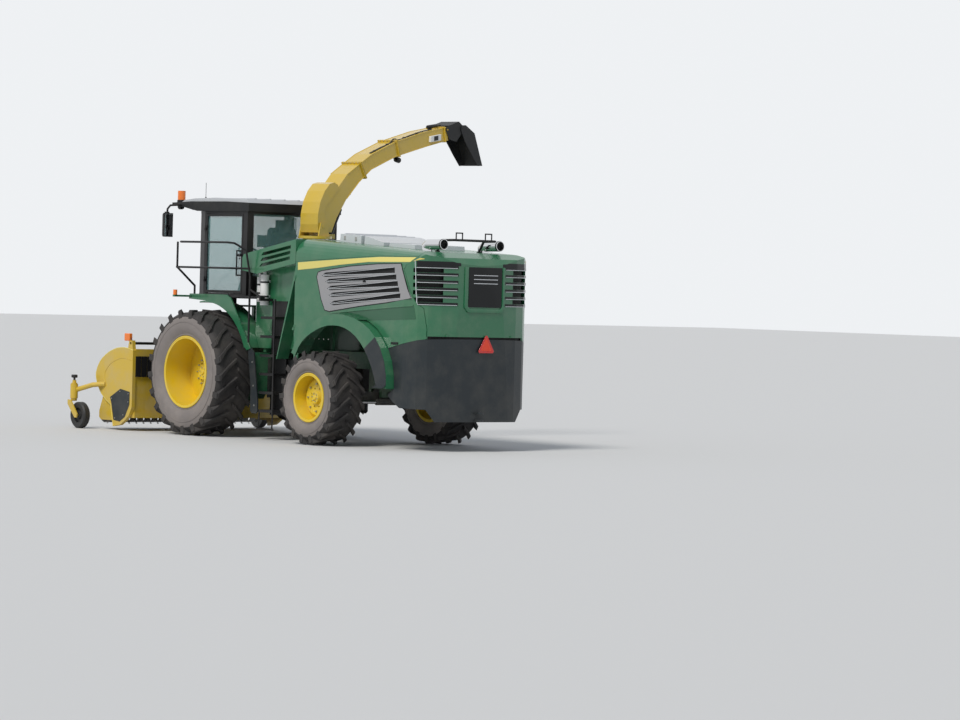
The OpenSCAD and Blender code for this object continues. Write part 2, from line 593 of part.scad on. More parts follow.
// Cab plan with its curved windscreen, moved in by d
function cab_plan(d) = concat([[-cab_half_w + d, cab_rear - d], [cab_half_w - d, cab_rear - d],
    [cab_half_w - 20 - d, cab_front]],
    [for (i = [1 : 9]) let (a = i * 18) [(cab_half_w - 20 - d) * cos(a),
        cab_front + (screen_front - cab_front + d) * pow(sin(a), 0.8)]],
    [[-cab_half_w + 20 + d, cab_front]]);
door_y = [cab_front + 60, cab_rear - 110];
door_z = [cab_floor + 70, cab_top - 40];
module cab_frame() {
    color([0.1, 0.11, 0.11]) {
        difference() {
            along_z(cab_floor, cab_top - cab_floor) polygon(cab_plan(0));
            along_z(cab_floor + 60, cab_top) polygon(cab_plan(cab_wall));
            box(-cab_half_w - 50, cab_half_w + 50, door_y[0], door_y[1], door_z[0], door_z[1]);
            box(-cab_half_w + 120, cab_half_w - 120, cab_rear - 200, cab_rear + 50, 2500, door_z[1]);
            box(-cab_half_w + 60, cab_half_w - 60, -1100, cab_front + 10, door_z[0], door_z[1]);
        }
        for (z = hinge_zs) {
            rod_z(z, z + 40, door_hinge[0], door_hinge[1], 12);
            box(850, door_hinge[0], door_hinge[1] - 36, door_hinge[1] - 4, z, z + 40);
        }
        both() for (y = [cab_front + 80, cab_rear - 180]) box(rail_mid - 60, rail_mid + 60, y, y + 90, rail_top, cab_floor);
    }
}
module cab_glass() {
    color([0.45, 0.6, 0.6, 0.35]) {
        intersection() {
            difference() {
                along_z(door_z[0], door_z[1] - door_z[0]) polygon(cab_plan(20));
                along_z(door_z[0] - 1, door_z[1]) polygon(cab_plan(20 + glass_t));
            }
            box(-cab_half_w + 61, cab_half_w - 61, -1100, cab_front + 9, door_z[0], door_z[1]);
        }
        box(-cab_half_w + 20, -cab_half_w + 20 + glass_t, door_y[0], door_y[1], door_z[0], door_z[1]);
        box(-cab_half_w + 120, cab_half_w - 120, cab_rear - 30, cab_rear - 30 + glass_t, 2500, door_z[1]);
    }
}
module cab_door() {
    color([0.1, 0.11, 0.11]) {
        difference() {
            box(cab_half_w - 40, cab_half_w, door_y[0] + 6, door_y[1] - 6, door_z[0] + 6, door_z[1] - 6);
            box(cab_half_w - 60, cab_half_w + 10, door_y[0] + 40, door_y[1] - 40, door_z[0] + 50, door_z[1] - 40);
        }
        for (z = hinge_zs) {
            rod_z(z + 40.4, z + 80, door_hinge[0], door_hinge[1], 12);
            box(cab_half_w - 3, door_hinge[0], door_hinge[1] + 4, door_hinge[1] + 40, z + 40.4, z + 80);
        }
        bar([cab_half_w + 30, door_y[1] - 110, 2500], [cab_half_w + 30, door_y[1] - 110, 2900], 12);
        for (z = [2510, 2890]) bar([cab_half_w - 12, door_y[1] - 20, z], [cab_half_w + 30, door_y[1] - 110, z], 12);
    }
}
module door_glass() {
    color([0.45, 0.6, 0.6, 0.35])
        box(cab_half_w - 26, cab_half_w - 26 + glass_t, door_y[0] + 40, door_y[1] - 40, door_z[0] + 50, door_z[1] - 40);
}
module cab_roof() {
    color([0.09, 0.1, 0.1]) difference() {
        intersection() {
        along_x(-cab_half_w - 60, 2 * cab_half_w + 120) polygon([[cab_rear + 60, cab_top], [cab_rear + 60, cab_top + 130],
            [200, cab_top + 150], [-700, cab_top + 150], [-1250, cab_top + 130], [-1270, cab_top + 102], [-900, cab_top + 60],
            [-560, cab_top]]);
        along_z(cab_top - 10, 400) polygon(concat([[-cab_half_w - 30, cab_rear + 60], [cab_half_w + 30, cab_rear + 60],
            [cab_half_w + 50, -600]], arc(cab_half_w - 45, -1130, 140, 20, -90, 5),
            [for (p = arc(cab_half_w - 45, -1130, 140, -90, 20, 5)) [-p[0], p[1]]], [[-cab_half_w - 50, -600]]));
        }
        both() rod_x(845, 1000, -980, cab_top + 90, 16.3);
    }
    color([0.8, 0.82, 0.82]) along_x(-cab_half_w + 10, 2 * cab_half_w - 20) polygon([[cab_rear, cab_top + 100],
        [cab_rear - 60, roof_top - 20], [-150, roof_top], [-720, roof_top - 12], [-980, roof_top - 38], [-1060, cab_top + 138], [-700, cab_top + 120],
        [200, cab_top + 120]]);
}
module cab_interior() {
    color([0.15, 0.15, 0.16]) {
        box(-230, 230, 60, 180, cab_floor + 60, cab_floor + 330);
        hull() {
            box(-260, 260, -120, 340, cab_floor + 330, cab_floor + 420);
            box(-230, 230, -90, 320, cab_floor + 330, cab_floor + 450);
        }
        along_x(-240, 480) polygon([[300, cab_floor + 440], [400, cab_floor + 440], [500, cab_floor + 1080],
            [440, cab_floor + 1120], [390, cab_floor + 1080]]);
        box(-150, 150, 470, 560, cab_floor + 1060, cab_floor + 1240);
        box(-80, 80, -700, -560, cab_floor + 60, cab_floor + 120);
        bar([0, -620, cab_floor + 100], [0, -380, cab_floor + 700], 45);
        translate([0, -370, cab_floor + 720]) rotate([-30, 0, 0]) rotate_extrude() translate([190, 0]) circle(r = 16);
        translate([0, -370, cab_floor + 720]) rotate([-30, 0, 0]) for (a = [0, 120, 240]) rotate([0, 0, a])
            translate([0, -12, -8]) cube([190, 24, 16]);
        translate([0, -370, cab_floor + 720]) rotate([-30, 0, 0]) translate([0, 0, -40]) cylinder(h = 48, r = 40);
        box(-620, -330, -300, 520, cab_floor + 60, cab_floor + 620);
        bar([-420, -280, cab_floor + 600], [-300, -420, cab_floor + 850], 20);
        box(-420, -180, -440, -400, cab_floor + 820, cab_floor + 1010);
    }
}

// Fender over the inner part of each front wheel, and the strip behind it
front_arch = front_z + 110;
lamp_x = 1400;
module front_fenders() {
    color([0.16, 0.45, 0.24]) both() {
        intersection() {
            difference() {
                along_x(700, 400) translate([0, front_z]) circle(r = front_arch + 20);
                along_x(600, 600) translate([0, front_z]) circle(r = front_arch);
            }
            box(600, 1200, -180, 1200, 1400, 2300);
        }
        along_x(1080, 20) difference() {
            polygon([[-470, 2125], [-452, 2205], [520, 2205], [640, 2150], [1165, 1390], [1090, 1360], [900, 1500],
                [500, 1950], [0, 2100]]);
            translate([0, front_z]) circle(r = front_arch + 10);
        }
        box(rail_out, 710, 300, 360, front_z + front_arch - 60, front_z + front_arch - 30);
        box(rail_out - 40, rail_out, 300, 360, rail_top, front_z + front_arch - 30);
    }
    color([0.13, 0.15, 0.15]) both() {
        box(1099, lamp_x + 30, -445, -400, 2150, 2180);
        along_x(1060, 20) polygon([[1165, 1395], [1240, 1330], [1370, 560], [1370, 430], [1330, 400], [1230, 400], [1190, 440],
            [1190, 800], [1100, 1350]]);
        box(700, 1060, 1200, 1220, 700, 1330);
        box(rail_out, 720, 1180, 1201, 1180, 1330);
    }
}
step_zs = [420, 700, 985, 1270, 1560, 1850];
deck_z = 2195;
module ladder() {
    color([0.14, 0.16, 0.16]) {
        for (z = step_zs) box(841, 1062, 1375, 1745, z, z + 40);
        along_x(1061, 18) polygon([[1727, 380], [1757, 380], [1757, 2160], [1727, 2160]]);
        along_x(830.3, 12) polygon([[1375, 380], [1757, 380], [1757, 2130], [1375, 2130]]);
        box(875.3, 1079.7, -420, 1065, deck_z - 30, deck_z);
        box(990, 1079.7, 1064, 1374, deck_z - 30, deck_z);
        box(830.3, 1079.7, 1340, 1376, deck_z - 70, deck_z - 29);
        rod_y(1360, 1770, 1070, 165, 16);
        for (y = [1400, 1742]) bar([1070, y, 165], [1062, y, 421], 12);
    }
}
// Handrails round the platform: each row is one bent tube
rail_x = 1400;
rail_pts = [
    [[1125, 1160, 1480], [1125, 1160, 2500], [1200, 1140, 2900], [rail_x - 40, 1050, 3000], [rail_x, 930, 3010],
        [rail_x, -300, 3010], [1280, -420, 3010]],
    [[1125, 1160, 2615], [rail_x, 1000, 2615], [rail_x, -400, 2615]],
    [[rail_x, -385, 3010], [rail_x, -385, 2615], [1055, -385, 2330], [1055, -385, deck_z - 15]],
    [[1050, 1350, deck_z - 15], [1125, 1150, 2300]]];
module handrails() {
    color([0.1, 0.1, 0.1]) {
        difference() {
            for (p = rail_pts) tube_run(p, 17);
            box(800, 1079.99, -440, 1400, deck_z - 60, deck_z + 0.3);
        }
        tube_run([[400, 4800, 2954], [400, 4900, 3105], [400, 5150, 3110], [-400, 5150, 3110], [-400, 4900, 3105],
            [-400, 4800, 2954]], 19);
        both() on_deck(4800) translate([400, 0, 0.3]) cylinder(h = 14, r = 38);
        both() tube_run([[340, 5150, 3115], [340, 5150, 3215], [220, 5150, 3215], [220, 5150, 3115]], 10);
    }
}
module mirrors() {
    color([0.08, 0.08, 0.09]) both() {
        tube_run([[846, -980, cab_top + 90], [980, -980, cab_top + 90], [1150, -965, cab_top + 80], [1215, -950, cab_top + 20],
            [1220, -948, 3420]], 16);
        hull() {
            box(1135, 1305, -935, -905, 3085, 3460);
            box(1155, 1285, -985, -905, 3110, 3435);
        }
    }
}
module beacons() {
    color([0.95, 0.4, 0.05]) {
        rod_z(cab_top + 135.8, cab_top + 170, 820, -1130, 25);
        rod_z(cab_top + 170, cab_top + 320, 820, -1130, 62);
        both() rod_z(2180.3, 2260, lamp_x, -422, 32);
    }
}
module extinguishers() {
    color([0.9, 0.9, 0.88]) {
        // Rows: x, y, foot, top, radius
        for (p = [[918, 1262, 2060, 2530, 66], [900, 1120, 2110, 2490, 46]]) {
            rod_z(p[2], p[3], p[0], p[1], p[4]);
            rod_z(p[3] - 1, p[3] + 60, p[0], p[1], 24);
            for (z = [p[2] + 120, p[3] - 120]) box(830.3, p[0] - p[4] + 6, p[1] - 30, p[1] + 30, z, z + 40);
        }
    }
}
// Air boxes on the deck, seated on its slope
module on_deck(y) {
    translate([0, y, hood_top_front - (y - panel_front) * tan(hood_slope)]) rotate([-hood_slope, 0, 0]) children();
}
module deck_boxes() {
    color([0.82, 0.84, 0.84]) on_deck(panel_front) {
        translate([0, 0, 0.5]) along_x(-560, 1120) polygon([[410, 0], [415, 118], [925, 122], [930, 0]]);
        translate([0, 0, 0.5]) along_x(-540, 1080) polygon([[980, 0], [985, 124], [1450, 52], [1452, 0]]);
        translate([0, 0, 0.5]) along_x(-480, 960) polygon([[1500, 0], [1520, 50], [2110, 62], [2120, 0]]);
    }
}
module exhausts() {
    color([0.85, 0.86, 0.88]) for (x = [exhaust_x, -exhaust_x]) translate([x, exhaust_y, 0]) difference() {
        tube_run([[0, 0, 2700], [0, 0, 3000], [0, 50, 3038], [0, 400, 3042]], 78, 24);
        tube_run([[0, 0, 2690], [0, 0, 3000], [0, 50, 3038], [0, 410, 3042]], 70, 24);
    }
}

// Feed roll housing, hinged below the cab and carrying the header
lift_pin = [-660, 1275];
pin_r = 32;
feeder_arm_x = 446;
feeder_arm_t = 50;
feeder_half_w = 380;
module feeder() {
    color([0.1, 0.3, 0.14]) {
        difference() {
            union() {
                along_x(-feeder_half_w, 2 * feeder_half_w) polygon([[-740, 520], [-740, 1120], [-860, 1150], [-1200, 1130],
                    [header_rear, 1110], [header_rear, 330], [-1150, 300], [-900, 420]]);
                box(-430, 430, header_rear, header_rear + 25, 310, 1160);
            }
            along_x(-feeder_half_w + 20, 2 * feeder_half_w - 40) polygon([[-735, 640], [-735, 1040], [-860, 1090],
                [header_rear - 10, 1060], [header_rear - 10, 380], [-1150, 350], [-900, 480]]);
        }
        both() difference() {
            along_x(feeder_arm_x, feeder_arm_t) polygon(concat(arc(lift_pin[0], lift_pin[1], 60, -60, 120, 8),
                [[-1000, 1180], [-1100, 1100], [-1100, 960], [-900, 960]]));
            rod_x(0, 600, lift_pin[0], lift_pin[1], pin_r + run_gap);
        }
        both() box(feeder_half_w - 1, feeder_arm_x + 1, -1090, -920, 970, 1080);
        // Lower ears and pins for the header cylinders
        both() {
            for (x = ram_ear_xs) box(x, x + 12, -1060, -940, ram_eye[1] - 45, ram_eye[1] + 55);
            rod_x(ram_ear_xs[0], ram_ear_xs[1] + 12, ram_eye[0], ram_eye[1], 19.6);
            box(feeder_half_w - 1, ram_ear_xs[1] + 12, -1060, -940, ram_eye[1] + 54, ram_eye[1] + 78);
        }
    }
}
guard_pin = [-1400, 1390];
roller_pin = [-2030, 760];
trough_front = -1990;
auger_y = -1700;
auger_z = 560;
reel_y = -2190;
reel_z = 235;
module header_frame() {
    color([0.93, 0.78, 0.12]) {
        for (z = [[210, 300], [1180, 1300]])
            box(-header_half_w + shield_t - 1, header_half_w - shield_t + 1, header_rear - 110, header_rear, z[0], z[1]);
        both() box(390, 470, header_rear - 110, header_rear, 299, 1181);
        both() box(469, header_half_w - shield_t + 1, header_rear - 30, header_rear - 20, 299, 1181);
        both() along_x(header_half_w - shield_t, shield_t) polygon([[header_rear, 380], [header_rear, 1280],
            [header_rear - 100, 1300], [-1540, 1314], [-1649, 1311], [-1750, 1300], [-1840, 1277], [-1950, 1240], [-2051, 1191],
            [-2145, 1135], [-2218, 1070], [-2280, 985], [-2315, 900], [-2318, 840], [-2290, 755], [-2225, 650], [-2152, 564],
            [-2018, 472], [-1886, 404], [-1806, 60], [-1615, 87], [-1480, 165], [-1367, 256]]);
        both() difference() {
            along_x(1480, 60) polygon([[-1330, 1260], [-1480, 1260], [-1440, 1435], [-1360, 1435]]);
            rod_x(1470, 1550, guard_pin[0], guard_pin[1], 22.4);
        }
        // Plates that carry the pick-up
        both() along_x(header_half_w - shield_t, 24) polygon([[-2130, 580], [-2250, 290], [-2250, 190], [-2200, 150],
            [-1830, 150], [-1830, 500], [-2000, 560]]);
        // Trough under the auger
        along_x(-header_half_w + shield_t - 1, 2 * (header_half_w - shield_t) + 2) difference() {
            polygon([[header_rear - 40, 250], [header_rear - 40, 420], [trough_front, 420], [trough_front, 290], [-1700, 230]]);
            translate([auger_y, auger_z]) circle(r = flight_r + 15, $fn = big_fn);
        }
        both() difference() {
            union() {
                tube_run([[header_half_w - 10, -2060, 720], [header_half_w + 110, -2240, 700],
                    [caster_x - 20, spindle_y, 600]], 40);
                rod_z(470, 700, caster_x, spindle_y, 62);
            }
            rod_z(460, 710, caster_x, spindle_y, 32);
        }
    }
}
// Bands round the pick-up, between its tines
module strippers() {
    color([0.55, 0.56, 0.55]) for (i = [0 : 20])
        along_x(-1400 + i * 140 - 55, 110) difference() {
            union() {
                translate([reel_y, reel_z]) circle(r = 132);
                polygon([[reel_y + 30, reel_z + 130], [reel_y + 20, reel_z - 131], [trough_front - 0.3, 300], [trough_front - 0.3, 380]]);
            }
            translate([reel_y, reel_z]) circle(r = 126);
            polygon([[reel_y, reel_z + 110], [reel_y + 5, reel_z - 110], [trough_front - 12, 315], [trough_front - 12, 350]]);
        }
}
// Flighting wound about the X axis, from x0 over a number of turns
module flighting(x0, pitch, turns, hand) {
    n = 20 * turns;
    t = 10;
    root = (auger_r + 0.3) / cos(9);
    pts = [for (i = [0 : n]) let (a = hand * i * 360 * turns / n, x = x0 + pitch * turns * i / n)
        for (q = [[0, root], [0, flight_r], [t, flight_r], [t, root]])
            [x + q[0], q[1] * cos(a), q[1] * sin(a)]];
    polyhedron(pts, concat([[2, 1, 0], [3, 2, 0]], [for (i = [0 : n - 1], k = [0 : 3]) let (a = 4 * i + k, b = 4 * i + (k + 1) % 4)
        each [[a, b, a + 4], [a + 4, b, b + 4]]], [[4 * n, 4 * n + 1, 4 * n + 2], [4 * n, 4 * n + 2, 4 * n + 3]]));
}
module auger() {
    color([0.9, 0.75, 0.1]) {
        rod_x(-header_half_w + shield_t + 6, header_half_w - shield_t - 6, auger_y, auger_z, auger_r);
        rod_x(-header_half_w + shield_t + 0.3, header_half_w - shield_t - 0.3, auger_y, auger_z, 40);
        both() translate([0, auger_y, auger_z]) flighting(330, 460, 2.5, 1);
        // Paddles that feed the opening in the middle
        for (a = [0, 120, 240]) translate([0, auger_y, auger_z]) rotate([a, 0, 0])
            box(-300, 300, -8, 8, auger_r - 6, auger_r + 60);
    }
}
module pickup_reel() {
    color([0.5, 0.42, 0.12]) translate([0, reel_y, reel_z]) {
        rod_x(-header_half_w + shield_t + 0.3, header_half_w - shield_t - 0.3, 0, 0, 50);
        for (a = [0 : 72 : 288], i = [0 : 19], s = [-8, 8]) rotate([a, 0, 0])
            rod_z(46, reel_r, -1330 + i * 140 + s, 0, 4, $fn = 6);
    }
}
module wind_guard() {
    color([0.15, 0.15, 0.15]) {
        both() along_x(1450, 20) {
            polygon([[-1370, 1400], [-1400, 1360], [-2110, 730], [-2160, 760], [-2140, 800], [-1420, 1420]]);
            translate(roller_pin) circle(r = 48);
        }
        rod_x(-1530, 1530, guard_pin[0], guard_pin[1], 22);
        for (i = [0 : 14]) translate([-1330 + i * 190, -2140, 775]) rotate([55, 0, 0]) cylinder(h = 240, r = 6);
        rod_x(-1451, 1451, -2140, 775, 14);
    }
}
module roller() {
    color([0.6, 0.6, 0.6]) {
        rod_x(-1430, 1430, roller_pin[0], roller_pin[1], roller_r);
        rod_x(-1449.6, 1449.6, roller_pin[0], roller_pin[1], 25);
    }
}
module caster() {
    rod_z(440, 760, caster_x, spindle_y, 31.6);
    rod_z(700.5, 720, caster_x, spindle_y, 50);
    rod_z(440, 469, caster_x, spindle_y, 50);
    box(caster_x - 30, caster_x + gauge_w / 2 + 34, spindle_y - 40, spindle_y + 40, 430, 450);
    along_x(caster_x + gauge_w / 2 + 14, 20) polygon([[spindle_y - 40, 450], [spindle_y + 40, 450], [spindle_y + caster_trail + 40, gauge_r + 20],
        [spindle_y + caster_trail + 30, gauge_r - 40], [spindle_y + caster_trail - 30, gauge_r - 40], [spindle_y - 40, 380]]);
    rod_x(caster_x - gauge_w / 2, caster_x + gauge_w / 2 + 15, spindle_y + caster_trail, gauge_r, 14.6);
}
module gauge_wheel() {
    translate([caster_x, spindle_y + caster_trail, gauge_r]) rotate([0, 90, 0]) rotate_extrude() polygon([[15, -45], [15, 45],
        [60, 45], [70, 20], [110, 20], [120, 50], [gauge_r - 20, gauge_w / 2], [gauge_r, gauge_w / 2 - 20],
        [gauge_r, -gauge_w / 2 + 20], [gauge_r - 20, -gauge_w / 2], [120, -50], [110, -20], [70, -20], [60, -45]]);
}
module caster_left() { color([0.9, 0.75, 0.1]) caster(); }
module caster_right() { color([0.9, 0.75, 0.1]) mirror([1, 0, 0]) caster(); }
module gauge_wheel_left() { color([0.12, 0.12, 0.12]) gauge_wheel(); }
module gauge_wheel_right() { color([0.12, 0.12, 0.12]) mirror([1, 0, 0]) gauge_wheel(); }

// Cylinders that lift the header, from the axle to the feed roll housing
ram_foot = [-250, 800];
ram_eye = [-1000, 560];
ram_ear_xs = [470, 532];
function ram_at(k) = [506, ram_foot[0] + (ram_eye[0] - ram_foot[0]) * k, ram_foot[1] + (ram_eye[1] - ram_foot[1]) * k];
module lift_barrels() {
    color([0.1, 0.1, 0.1]) both() difference() {
        union() {
            bar(ram_at(0.03), ram_at(0.62), 21);
            bar(ram_at(0.06), ram_at(0.6), 24);
            rod_x(486, 526, ram_foot[0], ram_foot[1], 30);
        }
        rod_x(480, 530, ram_foot[0], ram_foot[1], 20);
        bar(ram_at(0.3), ram_at(0.7), 14.4);
    }
}
module lift_rods() {
    color([0.8, 0.8, 0.82]) both() difference() {
        union() {
            bar(ram_at(0.31), ram_at(0.99), 14);
            rod_x(488, 524, ram_eye[0], ram_eye[1], 34);
        }
        rod_x(480, 530, ram_eye[0], ram_eye[1], 25);
    }
}

// The spout is drawn along +Y and turned to its place about the turret axis
module turned() { translate([0, turret_y, 0]) rotate([0, 0, spout_turn]) children(); }
spout_pin = [-40, 3300];
spout_foot = [340, 3135];
spout_eye = [700, 3850];
// Rows: distance from the turret axis, upper edge, lower edge
duct_rows = [[300, 3905, 3450], [520, 4135, 3755], [790, 4300, 4020], [1070, 4465, 4230], [1640, 4690, 4458],
    [2360, 4885, 4648], [2900, 4985, 4778]];
duct_back = [[-80, 3215], [-85, 3480], [-20, 3640], [120, 3760]];
duct_foot = [[264, 3382], [185, 3215]];
// The bent cover at the back of the elbow
cover_rows = [[-118, 3205], [-145, 3330], [-140, 3500], [-95, 3680], [0, 3850], [110, 3965], [215, 3992], [300, 3955],
    [318, 3890], [20, 3600], [15, 3485], [140, 3300], [100, 3205]];
module duct_outline() {
    polygon(concat(duct_back, [for (r = duct_rows) [r[0], r[1]]], [for (r = back_of(duct_rows)) [r[0], r[2]]], duct_foot));
}
// Inside of the duct: closed below up to its fifth row, open below beyond it
module duct_hollow(t) {
    polygon(concat([[-80 + t, 3190], [-85 + t, 3480], [-20 + t, 3640 - t], [120, 3760 - t * 1.4]],
        [for (r = duct_rows) [r[0], r[1] - t * 1.2]], [[3000, 4985 - t], [3000, 4600]], [[1650, 4400]],
        [for (r = back_of(duct_rows)) if (r[0] < 1700) [r[0] - t * 0.6, r[2] + t * 1.1]], [[264 - t * 1.1, 3382], [185 - t, 3190]]));
}
module turret() {
    color([0.9, 0.75, 0.1]) turned() difference() {
        union() {
            rod_z(duct_head + 0.4, 3110, 0, 0, turret_r - 70.5);
            rod_z(3109, 3150, 0, 0, turret_r);
            box(-130, 130, 0, 140, 3140, 3290);
            both() along_x(duct_w / 2 + 14, 24) polygon([[-145, 3140], [110, 3140], [20, spout_pin[1] + 55],
                [-100, spout_pin[1] + 55]]);
            both() box(40, 64, 200, spout_foot[0] + 50, 3120, 3190);
        }
        rod_z(duct_head - 10, 3160, 0, 0, 140);
        box(-115, 115, 15, 125, 3100, 3500);
        rod_x(-300, 300, spout_pin[0], spout_pin[1], 30);
    }
    color([0.9, 0.75, 0.1]) turned() rod_x(-64, 64, spout_foot[0], spout_foot[1] + 20, 14.6);
}
module spout() {
    color([0.93, 0.78, 0.12]) turned() {
        difference() {
            union() {
                along_x(-duct_w / 2, duct_w) duct_outline();
                along_x(-duct_w / 2 - 8, duct_w + 16) polygon(cover_rows);
            }
            along_x(-duct_w / 2 + duct_t, duct_w - 2 * duct_t) duct_hollow(duct_t);
        }
        both() rod_x(duct_w / 2 - 1, duct_w / 2 + 42, spout_pin[0], spout_pin[1], 29.6);
        both() box(40, 56, spout_eye[0] - 40, spout_eye[0] + 40, spout_eye[1] - 35, spout_eye[1] + 100);
        rod_x(-56, 56, spout_eye[0], spout_eye[1], 12);
        both() rod_x(duct_w / 2 - 1, duct_w / 2 + 16, flap_pin[0], flap_pin[1], 12);
    }
}
function spout_ram_at(k) = [0, spout_foot[0] + (spout_eye[0] - spout_foot[0]) * k,
    spout_foot[1] + 20 + (spout_eye[1] - spout_foot[1] - 20) * k];
module ram_barrel() {
    color([0.1, 0.1, 0.1]) turned() difference() {
        union() {
            bar(spout_ram_at(0.03), spout_ram_at(0.62), 32);
            rod_x(-34, 34, spout_foot[0], spout_foot[1] + 20, 34);
        }
        rod_x(-40, 40, spout_foot[0], spout_foot[1] + 20, 15);
        bar(spout_ram_at(0.13), spout_ram_at(0.7), 18.4);
    }
}
module ram_rod() {
    color([0.8, 0.8, 0.82]) turned() difference() {
        union() {
            bar(spout_ram_at(0.26), spout_ram_at(0.985), 18);
            rod_x(-32, 32, spout_eye[0], spout_eye[1], 36);
        }
        rod_x(-40, 40, spout_eye[0], spout_eye[1], 26);
    }
}
flap_pin = [2875, 4940];
tip_pin = [3230, 4985];
module flap_inner() {
    color([0.2, 0.2, 0.2]) turned() {
        difference() {
            both() along_x(duct_w / 2 + 6, 8) polygon([[2835, 4925], [2845, 4985], [2912, 5000], [3150, 5086], [3262, 5015],
                [3270, 4950], [3100, 4760], [2920, 4790]]);
            rod_x(-300, 300, flap_pin[0], flap_pin[1], 12.4);
        }
        along_x(-duct_w / 2 - 13, duct_w + 26) polygon([[2912, 4998], [2912, 5011], [3150, 5086], [3154, 5074]]);
        both() rod_x(duct_w / 2 + 13, duct_w / 2 + 30, tip_pin[0], tip_pin[1], 12);
    }
}
module flap_outer() {
    color([0.2, 0.2, 0.2]) turned() {
        difference() {
            both() along_x(duct_w / 2 + 20, 8) polygon([[3195, 4950], [3200, 5020], [3306, 5036], [3530, 4915],
                [spout_reach, 4400], [3640, 4390], [3480, 4560], [3290, 4780]]);
            rod_x(-300, 300, tip_pin[0], tip_pin[1], 12.4);
        }
        along_x(-duct_w / 2 - 27, duct_w + 54) polygon([[3300, 5022], [3306, 5036], [3530, 4915], [spout_reach, 4400],
            [spout_reach - 13, 4396], [3520, 4905]]);
    }
}

placed() frame();
placed() front_axle();
placed() rear_axle();
placed() engine();
placed() crop_duct();
placed() mid_body();
placed() tanks();
placed() hood_deck();
placed() shrouds();
placed() rear_hood();
placed() rear_fenders();
placed() skirts();
placed() cab_frame();
placed() cab_roof();
placed() cab_glass();
placed() cab_interior();
placed() front_fenders();
placed() ladder();
placed() handrails();
placed() mirrors();
placed() beacons();
placed() extinguishers();
placed() deck_boxes();
placed() exhausts();
placed() panel_left();
placed() grille_left();
placed() panel_right();
placed() grille_right();
placed() cab_door();
placed() door_glass();
placed() tyre_front_left();
placed() rim_front_left();
placed() tyre_front_right();
placed() rim_front_right();
placed() knuckle_left();
placed() knuckle_right();
placed() steer_rod();
placed() tyre_rear_left();
placed() rim_rear_left();
placed() tyre_rear_right();
placed() rim_rear_right();
placed() feeder();
placed() header_frame();
placed() strippers();
placed() auger();
placed() pickup_reel();
placed() wind_guard();
placed() roller();
placed() caster_left();
placed() caster_right();
placed() gauge_wheel_left();
placed() gauge_wheel_right();
placed() lift_barrels();
placed() lift_rods();
placed() turret();
placed() spout();
placed() ram_barrel();
placed() ram_rod();
placed() flap_inner();
placed() flap_outer();
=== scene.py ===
import logging
import math
from collections.abc import Iterable
from dataclasses import dataclass
from enum import Enum

import bpy
from mathutils import Matrix, Vector


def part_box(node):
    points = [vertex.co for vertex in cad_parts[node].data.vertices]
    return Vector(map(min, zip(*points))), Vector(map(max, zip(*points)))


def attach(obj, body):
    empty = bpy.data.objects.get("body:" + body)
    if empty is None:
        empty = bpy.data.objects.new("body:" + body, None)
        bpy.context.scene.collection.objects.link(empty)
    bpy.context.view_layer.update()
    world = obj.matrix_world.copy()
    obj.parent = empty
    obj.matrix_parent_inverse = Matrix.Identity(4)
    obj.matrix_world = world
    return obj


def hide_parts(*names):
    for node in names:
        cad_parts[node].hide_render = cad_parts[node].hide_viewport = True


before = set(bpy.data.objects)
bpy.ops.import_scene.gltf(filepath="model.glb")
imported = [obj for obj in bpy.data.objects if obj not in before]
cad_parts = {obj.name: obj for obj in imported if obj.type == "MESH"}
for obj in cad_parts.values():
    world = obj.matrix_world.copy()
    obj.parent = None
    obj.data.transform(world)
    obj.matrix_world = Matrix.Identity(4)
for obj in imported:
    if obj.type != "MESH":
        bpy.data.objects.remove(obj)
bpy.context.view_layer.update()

logging.basicConfig(level=logging.INFO, format="%(message)s")
log = logging.getLogger("harvester")

Point = tuple[float, float, float]
Pair = tuple[float, float]
Sides = tuple[str, str]
Solid = bpy.types.Object

X_AXIS, Y_AXIS, Z_AXIS = Vector((1, 0, 0)), Vector((0, 1, 0)), Vector((0, 0, 1))

# Metres from the machine's centre line to the middle of each driven tyre.
HALF_TRACK = 1.165

_tyre_low, _tyre_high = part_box("tyre_front_left")
ORIGIN = Vector(((_tyre_low.x + _tyre_high.x) / 2 - HALF_TRACK, (_tyre_low.y + _tyre_high.y) / 2, 0.0))
MIRROR = Matrix.Translation(ORIGIN) @ Matrix.Scale(-1, 4, X_AXIS) @ Matrix.Translation(-ORIGIN)

# How far the spout is turned from straight back, and where its turret stands.
SPOUT_TURN = math.radians(100)
TURRET_Y = 1.300

# The bodies that a left-hand piece and its mirrored copy move with.
MACHINE = ("machine", "machine")
PANELS = ("side_panel_left", "side_panel_right")
HEADER = ("header", "header")


def at(x: float, y: float, z: float) -> Vector:
    """Place a point of the machine in the shared frame.

    Args:
        x: metres to the machine's left of its centre line.
        y: metres behind the front axle.
        z: metres above the ground.

    Returns:
        The point in the shared frame.
    """
    return ORIGIN + Vector((x, y, z))


def spout_at(x: float, u: float, z: float) -> Vector:
    """Place a point of the turned spout in the shared frame.

    Args:
        x: metres to the side of the spout's middle.
        u: metres out from the turret's axis.
        z: metres above the ground.

    Returns:
        The point in the shared frame.
    """
    c, s = math.cos(SPOUT_TURN), math.sin(SPOUT_TURN)
    return at(x * c - u * s, x * s + u * c + TURRET_Y, z)


def side_line(x: float, line: Iterable[Pair]) -> list[Vector]:
    """Place a line of (back, up) points at one distance from the centre line."""
    return [at(x, y, z) for y, z in line]


def dial(node: bpy.types.Node, values: dict[str | int, object]) -> bpy.types.Node:
    """Set the inputs of a node.

    Args:
        node: the node.
        values: the value of each input, by its name or its place.

    Returns:
        The same node.
    """
    for key, value in values.items():
        node.inputs[key].default_value = value
    return node


